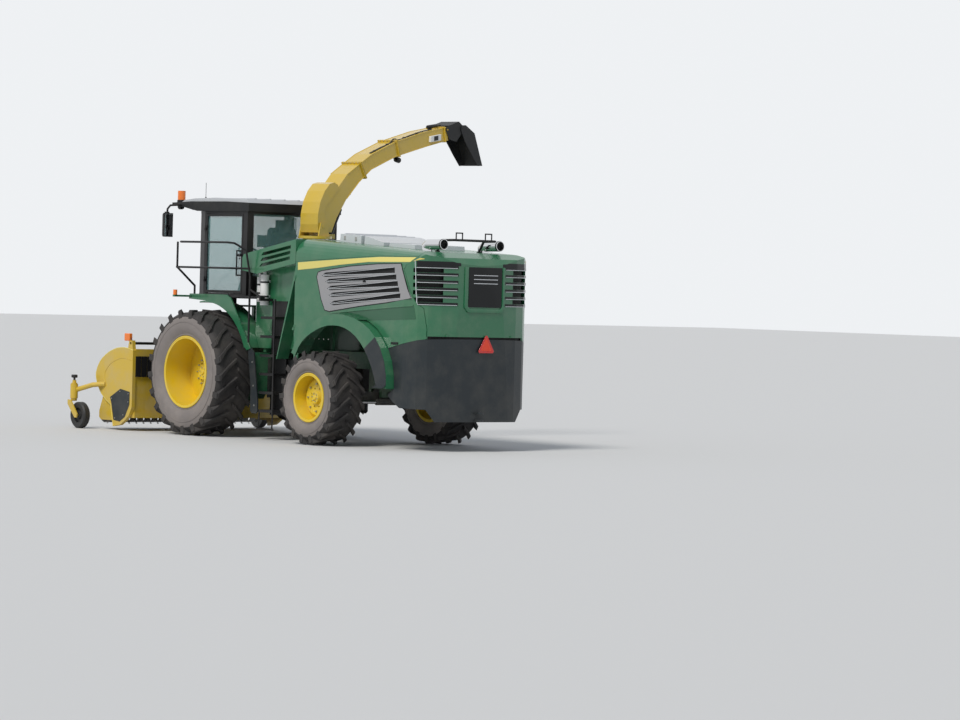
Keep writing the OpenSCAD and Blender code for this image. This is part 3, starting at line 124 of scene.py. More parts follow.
class Texture(Enum):
    """Patterns that a finish can lay over its colour."""

    PLAIN = "plain"
    DUSTY = "dusty"
    RUBBER = "rubber"
    CAST = "cast"
    GLASS = "glass"


@dataclass(frozen=True)
class Finish:
    """One paint, metal, rubber or glass of the machine."""

    name: str
    colour: Point
    roughness: float = 0.4
    metallic: float = 0.0
    coat: float = 0.0
    texture: Texture = Texture.PLAIN
    wear: float = 0.25
    specular: float = 0.5
    dust: Point = (0.45, 0.40, 0.32)
    alpha: float = 1.0
    slot: str = ""

    def material(self) -> bpy.types.Material:
        """Make or find this finish's material.

        Returns:
            The material, with its nodes built on Object coordinates.
        """
        found = bpy.data.materials.get("finish_" + self.name)
        if found:
            return found
        mat = bpy.data.materials.new("finish_" + self.name)
        mat.use_nodes = True
        nodes, links = mat.node_tree.nodes, mat.node_tree.links
        shader = dial(nodes["Principled BSDF"], {
            "Base Color": (*self.colour, 1.0), "Roughness": self.roughness, "Metallic": self.metallic,
            "Coat Weight": self.coat, "Coat Roughness": 0.08, "Specular IOR Level": self.specular})
        if self.texture is Texture.GLASS:
            dial(shader, {"Alpha": self.alpha, "IOR": 1.45})
        elif self.texture is not Texture.PLAIN:
            place = nodes.new("ShaderNodeTexCoord").outputs["Object"]
            self._lay_dust(nodes, links, shader, place)
            if self.texture in (Texture.RUBBER, Texture.CAST):
                self._roughen(nodes, links, shader, place)
        return mat

    def _roughen(self, nodes: bpy.types.Nodes, links: bpy.types.NodeLinks, shader: bpy.types.Node,
                 place: bpy.types.NodeSocket) -> None:
        """Raise a fine grain on the surface.

        Args:
            nodes: the material's nodes.
            links: the material's links.
            shader: the node that the grain feeds.
            place: the Object coordinates.
        """
        fine = 90.0 if self.texture is Texture.RUBBER else 45.0
        grain = dial(nodes.new("ShaderNodeTexNoise"), {"Scale": fine, "Detail": 4.0})
        bump = dial(nodes.new("ShaderNodeBump"), {"Strength": 0.25, "Distance": 0.002})
        links.new(place, grain.inputs["Vector"])
        links.new(grain.outputs["Fac"], bump.inputs["Height"])
        links.new(bump.outputs["Normal"], shader.inputs["Normal"])

    def _lay_dust(self, nodes: bpy.types.Nodes, links: bpy.types.NodeLinks, shader: bpy.types.Node,
                  place: bpy.types.NodeSocket) -> None:
        """Blend patches of dust into the colour and the roughness, more of them near the ground.

        Args:
            nodes: the material's nodes.
            links: the material's links.
            shader: the node that the dust feeds.
            place: the Object coordinates.
        """
        patches = dial(nodes.new("ShaderNodeTexNoise"), {"Scale": 3.2, "Detail": 7.0, "Roughness": 0.62})
        height = nodes.new("ShaderNodeSeparateXYZ")
        low = dial(nodes.new("ShaderNodeMapRange"),
                   {"From Min": 3.2, "From Max": 0.2, "To Min": 0.35, "To Max": 1.0})
        amount = dial(nodes.new("ShaderNodeMapRange"),
                      {"From Min": 0.42, "From Max": 0.72, "To Max": self.wear})
        share = nodes.new("ShaderNodeMath")
        share.operation = "MULTIPLY"
        mix = nodes.new("ShaderNodeMix")
        mix.data_type = "RGBA"
        dial(mix, {6: (*self.colour, 1.0), 7: (*self.dust, 1.0)})
        dull = dial(nodes.new("ShaderNodeMapRange"),
                    {"To Min": self.roughness, "To Max": min(1.0, self.roughness + 0.5)})
        for source, goal in (
                (place, patches.inputs["Vector"]), (place, height.inputs["Vector"]),
                (height.outputs["Z"], low.inputs["Value"]), (patches.outputs["Fac"], amount.inputs["Value"]),
                (amount.outputs["Result"], share.inputs[0]), (low.outputs["Result"], share.inputs[1]),
                (share.outputs["Value"], mix.inputs[0]), (mix.outputs[2], shader.inputs["Base Color"]),
                (share.outputs["Value"], dull.inputs["Value"]),
                (dull.outputs["Result"], shader.inputs["Roughness"])):
            links.new(source, goal)


GREEN = Finish("green_paint", (0.022, 0.150, 0.066), 0.28, coat=0.4, texture=Texture.DUSTY, wear=0.16,
               slot="green_paint")
DEEP_GREEN = Finish("deep_green_paint", (0.012, 0.085, 0.035), 0.38, texture=Texture.DUSTY, wear=0.30)
YELLOW = Finish("yellow_paint", (0.62, 0.42, 0.03), 0.32, coat=0.4, texture=Texture.DUSTY, wear=0.35,
                slot="yellow_paint")
RIM_YELLOW = Finish("rim_yellow_paint", (0.76, 0.54, 0.02), 0.36, coat=0.2, texture=Texture.DUSTY, wear=0.22,
                    slot="yellow_paint")
STRIPE = Finish("stripe_yellow", (0.72, 0.62, 0.16), 0.3, coat=0.3, slot="yellow_paint")
BLACK = Finish("black_paint", (0.010, 0.010, 0.011), 0.35, texture=Texture.DUSTY, wear=0.05, specular=0.3,
               slot="black_paint")
GLOSS_BLACK = Finish("gloss_black", (0.007, 0.008, 0.009), 0.22, specular=0.3, slot="black_plastic")
PLASTIC = Finish("black_plastic", (0.013, 0.014, 0.015), 0.5, texture=Texture.DUSTY, wear=0.08, specular=0.3,
                 slot="black_plastic")
GREY_PLASTIC = Finish("grey_plastic", (0.30, 0.30, 0.31), 0.40, texture=Texture.DUSTY, wear=0.15)
SKIRT_GREY = Finish("skirt_grey", (0.020, 0.026, 0.030), 0.42, texture=Texture.DUSTY, wear=0.07,
                    specular=0.35, slot="black_plastic")
TYRE = Finish("tyre_rubber", (0.050, 0.047, 0.046), 0.75, texture=Texture.RUBBER, wear=0.5,
              dust=(0.20, 0.175, 0.16))
SIDEWALL = Finish("sidewall_rubber", (0.200, 0.178, 0.168), 0.70, texture=Texture.RUBBER, wear=0.55,
                  dust=(0.34, 0.30, 0.27), slot="tyre_rubber")
TREAD = Finish("tread_rubber", (0.026, 0.024, 0.024), 0.72, texture=Texture.RUBBER, wear=0.35,
               dust=(0.15, 0.13, 0.11), slot="tyre_rubber")
MESH = Finish("fine_mesh", (0.012, 0.012, 0.012), 0.8, slot="black_plastic")
# Darker copy of the green paint: painted shade for the strip under the side panel's crease.
PAINTED_SHADE_GREEN = Finish("painted_shade_green", (0.018, 0.100, 0.045), 0.34, coat=0.3, slot="green_paint")
# Paler copy of the yellow paint: painted highlight along the rolled edges of the header's end shields.
HIGHLIGHT_YELLOW = Finish("painted_highlight_yellow", (0.72, 0.60, 0.14), 0.35, slot="yellow_paint")
MIRROR_GLASS = Finish("mirror_glass", (0.60, 0.64, 0.66), 0.04, metallic=1.0, slot="chrome")
RUBBER = Finish("soft_rubber", (0.016, 0.016, 0.016), 0.6)
GLASS = Finish("tinted_glass", (0.22, 0.42, 0.42), 0.03, texture=Texture.GLASS, alpha=0.30)
CHROME = Finish("chrome", (0.72, 0.72, 0.73), 0.10, metallic=1.0)
STEEL = Finish("bare_steel", (0.36, 0.35, 0.34), 0.38, metallic=0.85, texture=Texture.DUSTY, wear=0.35)
ZINC = Finish("zinc_bolts", (0.45, 0.44, 0.41), 0.35, metallic=0.9, slot="bare_steel")
PALE = Finish("pale_metal", (0.62, 0.64, 0.66), 0.35, texture=Texture.DUSTY, wear=0.2, slot="pale_metal")
WHITE = Finish("white_paint", (0.80, 0.80, 0.78), 0.35, slot="white_paint")
SILVER = Finish("silver_roof", (0.56, 0.58, 0.60), 0.32, coat=0.3, slot="pale_metal")
ORANGE = Finish("amber_lens", (0.88, 0.20, 0.015), 0.2, coat=0.4, slot="orange_lens")
RED = Finish("red_lens", (0.62, 0.02, 0.015), 0.18, coat=0.4, slot="orange_lens")
SIGNAL = Finish("signal_red", (0.80, 0.06, 0.02), 0.4, slot="orange_lens")
LAMP = Finish("lamp_lens", (0.75, 0.78, 0.80), 0.08, coat=0.5, slot="glass")
TRIM = Finish("cab_trim", (0.030, 0.030, 0.033), 0.6)
SEAT = Finish("seat_cloth", (0.022, 0.022, 0.024), 0.85, slot="cab_trim")
CAST = Finish("cast_iron", (0.030, 0.034, 0.034), 0.6, texture=Texture.CAST, wear=0.3)
HOSE = Finish("hose_rubber", (0.010, 0.010, 0.011), 0.45, slot="black_paint")

NODE_FINISH: dict[Finish, tuple[str, ...]] = {
    GREEN: ("hood_deck", "shrouds", "rear_hood", "panel_left", "panel_right", "front_fenders", "rear_fenders",
            "mid_body"),
    DEEP_GREEN: ("frame", "crop_duct", "feeder"),
    YELLOW: ("header_frame", "auger", "caster_left", "caster_right", "turret", "spout"),
    RIM_YELLOW: ("rim_front_left", "rim_front_right", "rim_rear_left", "rim_rear_right"),
    BLACK: ("handrails", "mirrors", "ladder", "lift_barrels", "ram_barrel", "wind_guard", "cab_frame",
            "cab_door"),
    PLASTIC: ("tanks", "flap_inner", "flap_outer", "cab_roof"),
    SKIRT_GREY: ("skirts",),
    GREY_PLASTIC: ("grille_left", "grille_right"),
    TYRE: ("tyre_front_left", "tyre_front_right", "tyre_rear_left", "tyre_rear_right"),
    RUBBER: ("gauge_wheel_left", "gauge_wheel_right"),
    GLASS: ("cab_glass", "door_glass"),
    CHROME: ("exhausts", "steer_rod", "lift_rods", "ram_rod"),
    STEEL: ("strippers", "pickup_reel", "roller"),
    PALE: ("deck_boxes",),
    ORANGE: ("beacons",),
    TRIM: ("cab_interior",),
    WHITE: ("extinguishers",),
    CAST: ("engine", "front_axle", "rear_axle", "knuckle_left", "knuckle_right"),
}


def dress_nodes() -> None:
    """Give every node of the frame its finish."""
    for finish, names in NODE_FINISH.items():
        for name in names:
            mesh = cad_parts[name].data
            mesh.materials.clear()
            mesh.materials.append(finish.material())
    log.info("dressed %d nodes", sum(len(v) for v in NODE_FINISH.values()))


def clear_selection() -> None:
    """Leave edit mode and deselect everything."""
    if bpy.context.object and bpy.context.object.mode != "OBJECT":
        bpy.ops.object.mode_set(mode="OBJECT")
    bpy.ops.object.select_all(action="DESELECT")


def pick(*objs: Solid) -> None:
    """Select these objects alone and make the first one active.

    Args:
        objs: the objects.
    """
    clear_selection()
    for obj in objs:
        obj.select_set(True)
    bpy.context.view_layer.objects.active = objs[0]


def open_up(obj: Solid) -> None:
    """Go into an object's mesh with all of it selected.

    Args:
        obj: the object.
    """
    pick(obj)
    bpy.ops.object.mode_set(mode="EDIT")
    bpy.ops.mesh.select_all(action="SELECT")


def close_up() -> None:
    """Turn the faces of the opened mesh outward and leave it."""
    bpy.ops.mesh.select_all(action="SELECT")
    bpy.ops.mesh.normals_make_consistent(inside=False)
    bpy.ops.object.mode_set(mode="OBJECT")


def settle(obj: Solid) -> Solid:
    """Move an object's place, turn and scale into its mesh.

    Args:
        obj: the object to settle.

    Returns:
        The same object.
    """
    pick(obj)
    bpy.ops.object.transform_apply(location=True, rotation=True, scale=True)
    return obj


def modify(obj: Solid, kind: str, **values: object) -> Solid:
    """Add a modifier and apply it.

    Args:
        obj: the object to change.
        kind: the modifier's type.
        values: its settings.

    Returns:
        The same object.
    """
    pick(obj)
    bpy.ops.object.modifier_add(type=kind)
    modifier = obj.modifiers[-1]
    for key, value in values.items():
        setattr(modifier, key, value)
    bpy.ops.object.modifier_apply(modifier=modifier.name)
    return obj


def soften(obj: Solid, width: float, segments: int = 2) -> Solid:
    """Round an object's sharp edges.

    Args:
        obj: the object.
        width: the width of the rounding in metres.
        segments: the steps across it.

    Returns:
        The same object.
    """
    return modify(obj, "BEVEL", width=width, segments=segments, limit_method="ANGLE",
                  angle_limit=math.radians(35))


def block(name: str, low: Vector, high: Vector, round_by: float = 0.004) -> Solid:
    """Make a box with softened edges.

    Args:
        name: the piece's name.
        low: its lowest corner.
        high: its highest corner.
        round_by: the width of its rounded edges, or 0 for none.

    Returns:
        The box.
    """
    clear_selection()
    bpy.ops.mesh.primitive_cube_add(size=1, location=(low + high) / 2)
    obj = bpy.context.object
    obj.name = name
    obj.scale = [abs(high[i] - low[i]) for i in range(3)]
    settle(obj)
    return soften(obj, round_by) if round_by else obj


def rod(name: str, a: Vector, b: Vector, radius: float, sides: int = 24, round_by: float = 0.0) -> Solid:
    """Make a round bar between two points.

    Args:
        name: the piece's name.
        a: the middle of one end.
        b: the middle of the other end.
        radius: its radius.
        sides: its number of sides.
        round_by: the width of its rounded rims, or 0 for none.

    Returns:
        The bar.
    """
    clear_selection()
    bpy.ops.mesh.primitive_cylinder_add(vertices=sides, radius=radius, depth=(b - a).length,
                                        location=(a + b) / 2)
    obj = bpy.context.object
    obj.name = name
    obj.rotation_mode = "QUATERNION"
    obj.rotation_quaternion = (b - a).to_track_quat("Z", "Y")
    settle(obj)
    if round_by:
        soften(obj, round_by)
    return smooth(obj)


def smooth(obj: Solid, angle: float = 32.0) -> Solid:
    """Shade an object smooth across its flatter edges.

    Args:
        obj: the object.
        angle: the steepest edge that is smoothed, in degrees.

    Returns:
        The same object.
    """
    pick(obj)
    bpy.ops.object.shade_smooth_by_angle(angle=math.radians(angle))
    return obj


def chain(name: str, points: list[Vector]) -> Solid:
    """Draw a chain of edges through points.

    Args:
        name: the piece's name.
        points: the chain's points.

    Returns:
        The chain, still open.
    """
    clear_selection()
    bpy.ops.mesh.primitive_plane_add(size=0.01, location=points[0])
    obj = bpy.context.object
    obj.name = name
    settle(obj)
    open_up(obj)
    bpy.ops.mesh.merge(type="CENTER")
    for a, b in zip(points, points[1:]):
        bpy.ops.mesh.extrude_region_move(TRANSFORM_OT_translate={"value": b - a})
    bpy.ops.object.mode_set(mode="OBJECT")
    return obj


def plate(name: str, outline: list[Vector], depth: Vector, round_by: float = 0.003) -> Solid:
    """Cut a plate to an outline and give it thickness.

    Args:
        name: the piece's name.
        outline: the corners of one face, in order.
        depth: the way and the distance to the other face.
        round_by: the width of its rounded edges, or 0 for none.

    Returns:
        The plate.
    """
    obj = chain(name, outline)
    open_up(obj)
    bpy.ops.mesh.edge_face_add()
    bpy.ops.mesh.extrude_region_move(TRANSFORM_OT_translate={"value": depth})
    close_up()
    return soften(obj, round_by) if round_by else obj


def lathe(name: str, profile: list[Vector], centre: Vector, axis: Vector, steps: int = 64) -> Solid:
    """Turn a closed or open profile about an axis.

    Args:
        name: the piece's name.
        profile: the points of the profile.
        centre: a point of the axis.
        axis: the way of the axis.
        steps: the steps of one turn.

    Returns:
        The turned solid.
    """
    obj = chain(name, profile)
    open_up(obj)
    bpy.ops.mesh.spin(steps=steps, angle=math.tau, center=centre, axis=axis)
    bpy.ops.mesh.select_all(action="SELECT")
    bpy.ops.mesh.remove_doubles(threshold=0.0003)
    close_up()
    return smooth(obj)


def pipe(name: str, points: list[Vector], radius: float, sides: int = 8, soft: bool = True) -> Solid:
    """Bend a round tube or hose through points.

    Args:
        name: the piece's name.
        points: the points that its middle passes.
        radius: its radius.
        sides: its number of sides.
        soft: whether it curves smoothly or is mitred at its corners.

    Returns:
        The tube, as a mesh.
    """
    line = bpy.data.curves.new(name, "CURVE")
    line.dimensions = "3D"
    line.bevel_depth = radius
    line.bevel_resolution = max(0, sides // 4 - 1)
    line.resolution_u = 6
    line.use_fill_caps = True
    spline = line.splines.new("BEZIER" if soft else "POLY")
    run = spline.bezier_points if soft else spline.points
    run.add(len(points) - 1)
    for knot, p in zip(run, points):
        if soft:
            knot.co = p
            knot.handle_left_type = knot.handle_right_type = "AUTO"
        else:
            knot.co = (*p, 1.0)
    obj = bpy.data.objects.new(name, line)
    bpy.context.scene.collection.objects.link(obj)
    pick(obj)
    bpy.ops.object.convert(target="MESH")
    return smooth(bpy.context.object, 50)


def join(name: str, parts: list[Solid]) -> Solid:
    """Join parts into one piece.

    Args:
        name: the joined piece's name.
        parts: the parts, each already in its place.

    Returns:
        The joined piece.
    """
    pick(*parts)
    if len(parts) > 1:
        bpy.ops.object.join()
    obj = bpy.context.object
    obj.name = name
    return obj


def copy_of(obj: Solid, change: Matrix) -> Solid:
    """Copy a part with its own mesh and move the copy.

    Args:
        obj: the part.
        change: the move, turn or mirror of the copy.

    Returns:
        The copy, settled.
    """
    pick(obj)
    bpy.ops.object.duplicate(linked=False)
    twin = bpy.context.object
    twin.matrix_world = change @ twin.matrix_world
    settle(twin)
    if change.determinant() < 0:
        open_up(twin)
        close_up()
    return twin


def turn_about(centre: Vector, angle: float, axis: Vector) -> Matrix:
    """Work out the turn by an angle about an axis through a point."""
    return Matrix.Translation(centre) @ Matrix.Rotation(angle, 4, axis) @ Matrix.Translation(-centre)


def ring_of(obj: Solid, count: int, centre: Vector, axis: Vector, start: float = 0.0) -> list[Solid]:
    """Repeat a part round an axis.

    Args:
        obj: the part to repeat, which is used up.
        count: how many there are.
        centre: a point of the axis.
        axis: the way of the axis.
        start: the angle of the first one.

    Returns:
        All the copies.
    """
    out = [copy_of(obj, turn_about(centre, start + i * math.tau / count, axis)) for i in range(count)]
    bpy.data.objects.remove(obj)
    return out


def carve(obj: Solid, cutter: Solid) -> Solid:
    """Cut one solid out of another.

    Args:
        obj: the solid that stays.
        cutter: the solid that is taken out and used up.

    Returns:
        The carved solid.
    """
    modify(obj, "BOOLEAN", object=cutter, operation="DIFFERENCE", solver="EXACT")
    bpy.data.objects.remove(cutter)
    return obj


def fit(obj: Solid, finish: Finish, body: str, nodes: tuple[str, ...] = ()) -> Solid:
    """Finish a piece and fix it to a body.

    Args:
        obj: the piece.
        finish: its finish.
        body: the body it moves with.
        nodes: the nodes that it stands for.

    Returns:
        The fitted piece.
    """
    obj.data.materials.clear()
    obj.data.materials.append(finish.material())
    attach(obj, body)
    if nodes:
        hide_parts(*nodes)
    log.info("%s: %d faces on %s", obj.name, len(obj.data.polygons), body)
    return obj


def along(points: list[Vector], count: int) -> list[Vector]:
    """Spread points evenly along a line of points.

    Args:
        points: the line's points.
        count: how many points to spread.

    Returns:
        The spread points, with both ends kept.
    """
    spans = [(b - a).length for a, b in zip(points, points[1:])]
    out, i, done = [], 0, 0.0
    for k in range(count):
        want = sum(spans) * k / (count - 1)
        while i < len(spans) - 1 and done + spans[i] < want:
            done += spans[i]
            i += 1
        out.append(points[i].lerp(points[i + 1], min(1.0, max(0.0, (want - done) / spans[i]))))
    return out


def steps(points: list[Vector], per: int) -> list[Vector]:
    """Divide each span of a line of points, keeping its corners.

    Args:
        points: the line's points.
        per: the steps in each span.

    Returns:
        The divided line.
    """
    out = [a.lerp(b, k / per) for a, b in zip(points, points[1:]) for k in range(per)]
    return out + [points[-1]]


def sheet(name: str, rows: list[list[Vector]]) -> Solid:
    """Bend a grid into a sheet that passes through rows of points.

    Args:
        name: the piece's name.
        rows: the rows, each with the same number of points.

    Returns:
        The sheet, still without thickness.
    """
    clear_selection()
    bpy.ops.mesh.primitive_grid_add(x_subdivisions=len(rows[0]) - 1, y_subdivisions=len(rows) - 1)
    obj = bpy.context.object
    obj.name = name
    for vertex, place in zip(obj.data.vertices, [p for row in rows for p in row]):
        vertex.co = place
    obj.data.update()
    return obj


def between(low: list[Vector], high: list[Vector], count: int) -> list[list[Vector]]:
    """Fill the space between two matched lines with rows of points.

    Args:
        low: the points of the first line.
        high: the points of the last line.
        count: how many rows there are, with both lines.

    Returns:
        The rows.
    """
    return [[a.lerp(b, k / (count - 1)) for a, b in zip(low, high)] for k in range(count)]


def lay_on(obj: Solid, node: str, way: str, thick: float = 0.002, soft: float = 0.0) -> Solid:
    """Lay a sheet on the surface of a node and give it thickness.

    Args:
        obj: the sheet, placed just off the surface.
        node: the node that it lies on.
        way: the axis that it is pressed along, or "" for the nearest point.
        thick: its thickness in metres.
        soft: the width of its rounded edges, or 0 for none.

    Returns:
        The sheet, closed.
    """
    settings = {"target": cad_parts[node], "offset": 0.0012 + thick / 2, "wrap_mode": "ABOVE_SURFACE"}
    if way:
        settings |= {"wrap_method": "PROJECT", "use_negative_direction": True, "use_positive_direction": True}
        settings["use_project_" + way] = True
    else:
        settings["wrap_method"] = "NEAREST_SURFACEPOINT"
    modify(obj, "SHRINKWRAP", **settings)
    modify(obj, "SOLIDIFY", thickness=thick, offset=0.0)
    open_up(obj)
    close_up()
    if soft:
        soften(obj, soft)
    return smooth(obj)


def studs(name: str, feet: Iterable[Vector], reach: Vector, radius: float, sides: int,
          round_by: float) -> Solid:
    """Set a row of like round heads and join them into one piece.

    Args:
        name: the piece's name.
        feet: the middle of each head's foot.
        reach: the way and the distance from a head's foot to its top.
        radius: the radius of a head.
        sides: its number of sides.
        round_by: the width of its rounded rims.

    Returns:
        The joined heads.
    """
    return join(name, [rod("head", foot, foot + reach, radius, sides, round_by) for foot in feet])


def both(obj: Solid, finish: Finish, bodies: Sides) -> None:
    """Fit a left-hand piece to its body and its mirrored copy to the other side's body.

    Args:
        obj: the left-hand piece.
        finish: the finish of both.
        bodies: the left body and the right body.
    """
    twin = copy_of(obj, MIRROR)
    twin.name = obj.name.replace("_left", "") + "_right"
    obj.name = obj.name.replace("_left", "") + "_left"
    fit(obj, finish, bodies[0])
    fit(twin, finish, bodies[1])


@dataclass
class Wheel:
    """A pair of wheels: tyres with lugs, rim edges, nuts and hub caps.

    Sizes are in metres. hub_x and cap_x lie that far to the left of the tyre's middle.
    """

    end: str
    hub_y: float
    radius: float
    width: float
    rim_d: float
    seat_w: float
    lugs: int
    hub_x: float
    nut_ring: float
    nuts: int
    cap_r: float
    cap_x: float
    lug_h: float = 0.055

    def __post_init__(self) -> None:
        """Work out where the hub's middle is."""
        self.hub = at(HALF_TRACK, self.hub_y, self.radius)

    def ringed(self, name: str, profile: list[Pair], turns: int = 96) -> Solid:
        """Turn a closed profile about the wheel's axis.

        Args:
            name: the piece's name.
            profile: the radius and the offset to the left of each of its points.
            turns: the steps of one turn.

        Returns:
            The ring.
        """
        points = [self.hub + Vector((x, 0, r)) for r, x in profile]
        return lathe(name, points + [points[0]], self.hub, X_AXIS, turns)

    def carcass(self) -> Solid:
        """Turn the sidewalls and the body of the tyre.

        Returns:
            The carcass below the tread.
        """
        rim, crown, half = self.rim_d / 2, self.radius - self.lug_h, self.width / 2
        h, seat = crown - rim, self.seat_w / 2
        side = [(rim - 0.02, seat - 0.002), (rim + 0.006, seat + 0.002), (rim + 0.016, seat + 0.014),
                (rim + 0.032, seat + 0.012), (rim + 0.18 * h, half - 0.020), (rim + 0.30 * h, half - 0.007),
                (rim + 0.40 * h, half - 0.001), (rim + 0.50 * h, half - 0.003),
                (rim + 0.57 * h, half - 0.006), (rim + 0.575 * h, half - 0.001),
                (rim + 0.60 * h, half - 0.001), (rim + 0.605 * h, half - 0.008),
                (crown - 0.075, half - 0.015), (crown - 0.050, half - 0.030), (crown - 0.006, half - 0.084)]
        return self.ringed(f"sidewall_{self.end}", side + [(r, -x) for r, x in reversed(side)])

    def tread(self) -> Solid:
        """Build the tread band with its two rows of slanting lugs.

        Returns:
            The tread of the left-hand tyre.
        """
        crown, half = self.radius - self.lug_h, self.width / 2
        outer = [(crown - 0.066, half - 0.012), (crown - 0.058, half - 0.010), (crown - 0.028, half - 0.040),
                 (crown - 0.002, half - 0.078), (crown + 0.002, half - 0.15)]
        inner = [(crown - 0.030, half - 0.15), (crown - 0.060, half - 0.075)]
        band = self.ringed(f"tread_{self.end}", outer + [(r, -x) for r, x in reversed(outer)]
                           + [(r, -x) for r, x in reversed(inner)] + inner)
        run, thick = 0.42 * self.width, 0.085 * self.width
        reach = run / 2 + thick / 2 + 0.012
        top = math.sqrt(self.radius**2 - reach**2)
        bow, low = 0.020, crown - 0.105
        edge = [(0.008, -run / 2 - thick / 2), (0.008, -run / 2 + thick / 2),
                (0.45 * half, -0.05 * run + thick / 2 - bow), (half - 0.024, run / 2 + thick / 2 + 0.008),
                (half - 0.024, run / 2 - thick), (0.45 * half, -0.05 * run - thick / 2 - bow)]
        lug = plate("lug", [self.hub + Vector((x, y, crown - 0.05)) for x, y in edge],
                    Vector((0, 0, top - crown + 0.05)), 0.009)
        foot = plate("foot", [self.hub + Vector((half - 0.023, y, z)) for y, z in
                              ((run / 2 - thick, low), (run / 2 + thick / 2, low),
                               (run / 2 + thick / 2 + 0.006, top - 0.018),
                               (run / 2 - thick + 0.003, top - 0.018))],
                     Vector((0.012, 0, 0)), 0.006)
        lug = join("lug", [lug, foot])
        flip = Matrix.Translation(self.hub) @ Matrix.Scale(-1, 4, X_AXIS) @ Matrix.Translation(-self.hub)
        back = copy_of(lug, flip)
        rows = ring_of(lug, self.lugs, self.hub, X_AXIS)
        rows += ring_of(back, self.lugs, self.hub, X_AXIS, math.pi / self.lugs)
        return join(f"tread_{self.end}", [band, *rows])

    def nuts_and_cap(self) -> Solid:
        """Make the ring of wheel nuts with studs and the plugs of the hub cap.

        Returns:
            The nuts and plugs.
        """
        face = self.hub + Vector((self.hub_x, 0, self.nut_ring))
        nut = rod("nut", face, face + Vector((0.020, 0, 0)), 0.016, 6, 0.002)
        stud = rod("stud", face, face + Vector((0.031, 0, 0)), 0.009, 12, 0.001)
        nuts = ring_of(join("nut", [nut, stud]), self.nuts, self.hub, X_AXIS)
        plug_at = self.hub + Vector((self.cap_x, 0, self.cap_r * 0.62))
        plug = rod("plug", plug_at - Vector((0.001, 0, 0)), plug_at + Vector((0.011, 0, 0)), 0.010, 6, 0.002)
        return join(f"nuts_{self.end}", nuts + ring_of(plug, 6, self.hub, X_AXIS, 0.3))

    def cap_ring(self) -> Solid:
        """Turn the raised rim and centre of the hub cap.

        Returns:
            The rim and centre.
        """
        x, r = self.cap_x, self.cap_r
        edge = [(r - 0.004, x - 0.004), (r - 0.004, x + 0.006), (r - 0.016, x + 0.008),
                (r - 0.018, x - 0.004)]
        boss = [(0.0, x - 0.004), (0.0, x + 0.018), (0.030, x + 0.017), (0.036, x + 0.010),
                (0.038, x - 0.004)]
        rim, hub = self.ringed(f"cap_{self.end}", edge, 48), self.ringed("cap_middle", boss, 36)
        return join(rim.name, [rim, hub])

    def lip(self) -> Solid:
        """Turn the rolled edge of the rim and fit its valve.

        Returns:
            The edge and valve.
        """
        edge, seat = self.rim_d / 2, self.seat_w / 2 + 0.014
        turns = [k * math.tau / 10 for k in range(10)]
        bead = [(edge - 0.014 + 0.010 * math.cos(a), seat - 0.001 + 0.006 * math.sin(a)) for a in turns]
        roll = self.ringed(f"rim_lip_{self.end}", bead)
        foot = self.hub + Vector((self.hub_x + 0.02, 0.06, self.rim_d / 2 - 0.075))
        valve = rod("valve", foot, foot + Vector((0.055, 0, -0.018)), 0.006, 10, 0.001)
        return join(roll.name, [roll, valve])

    def build(self) -> None:
        """Make the left-hand wheel's pieces and mirror them for the right-hand wheel."""
        for make, finish in ((self.carcass, SIDEWALL), (self.tread, TREAD), (self.nuts_and_cap, ZINC),
                             (self.cap_ring, RIM_YELLOW), (self.lip, RIM_YELLOW)):
            left = make()
            name = left.name
            right = copy_of(left, MIRROR)
            left.name, right.name = name + "_left", name + "_right"
            for obj, side in ((left, "left"), (right, "right")):
                tyre = (f"tyre_{self.end}_{side}",) if finish in (SIDEWALL, TREAD) else ()
                fit(obj, finish, f"{self.end}_wheel_{side}", nodes=tyre)


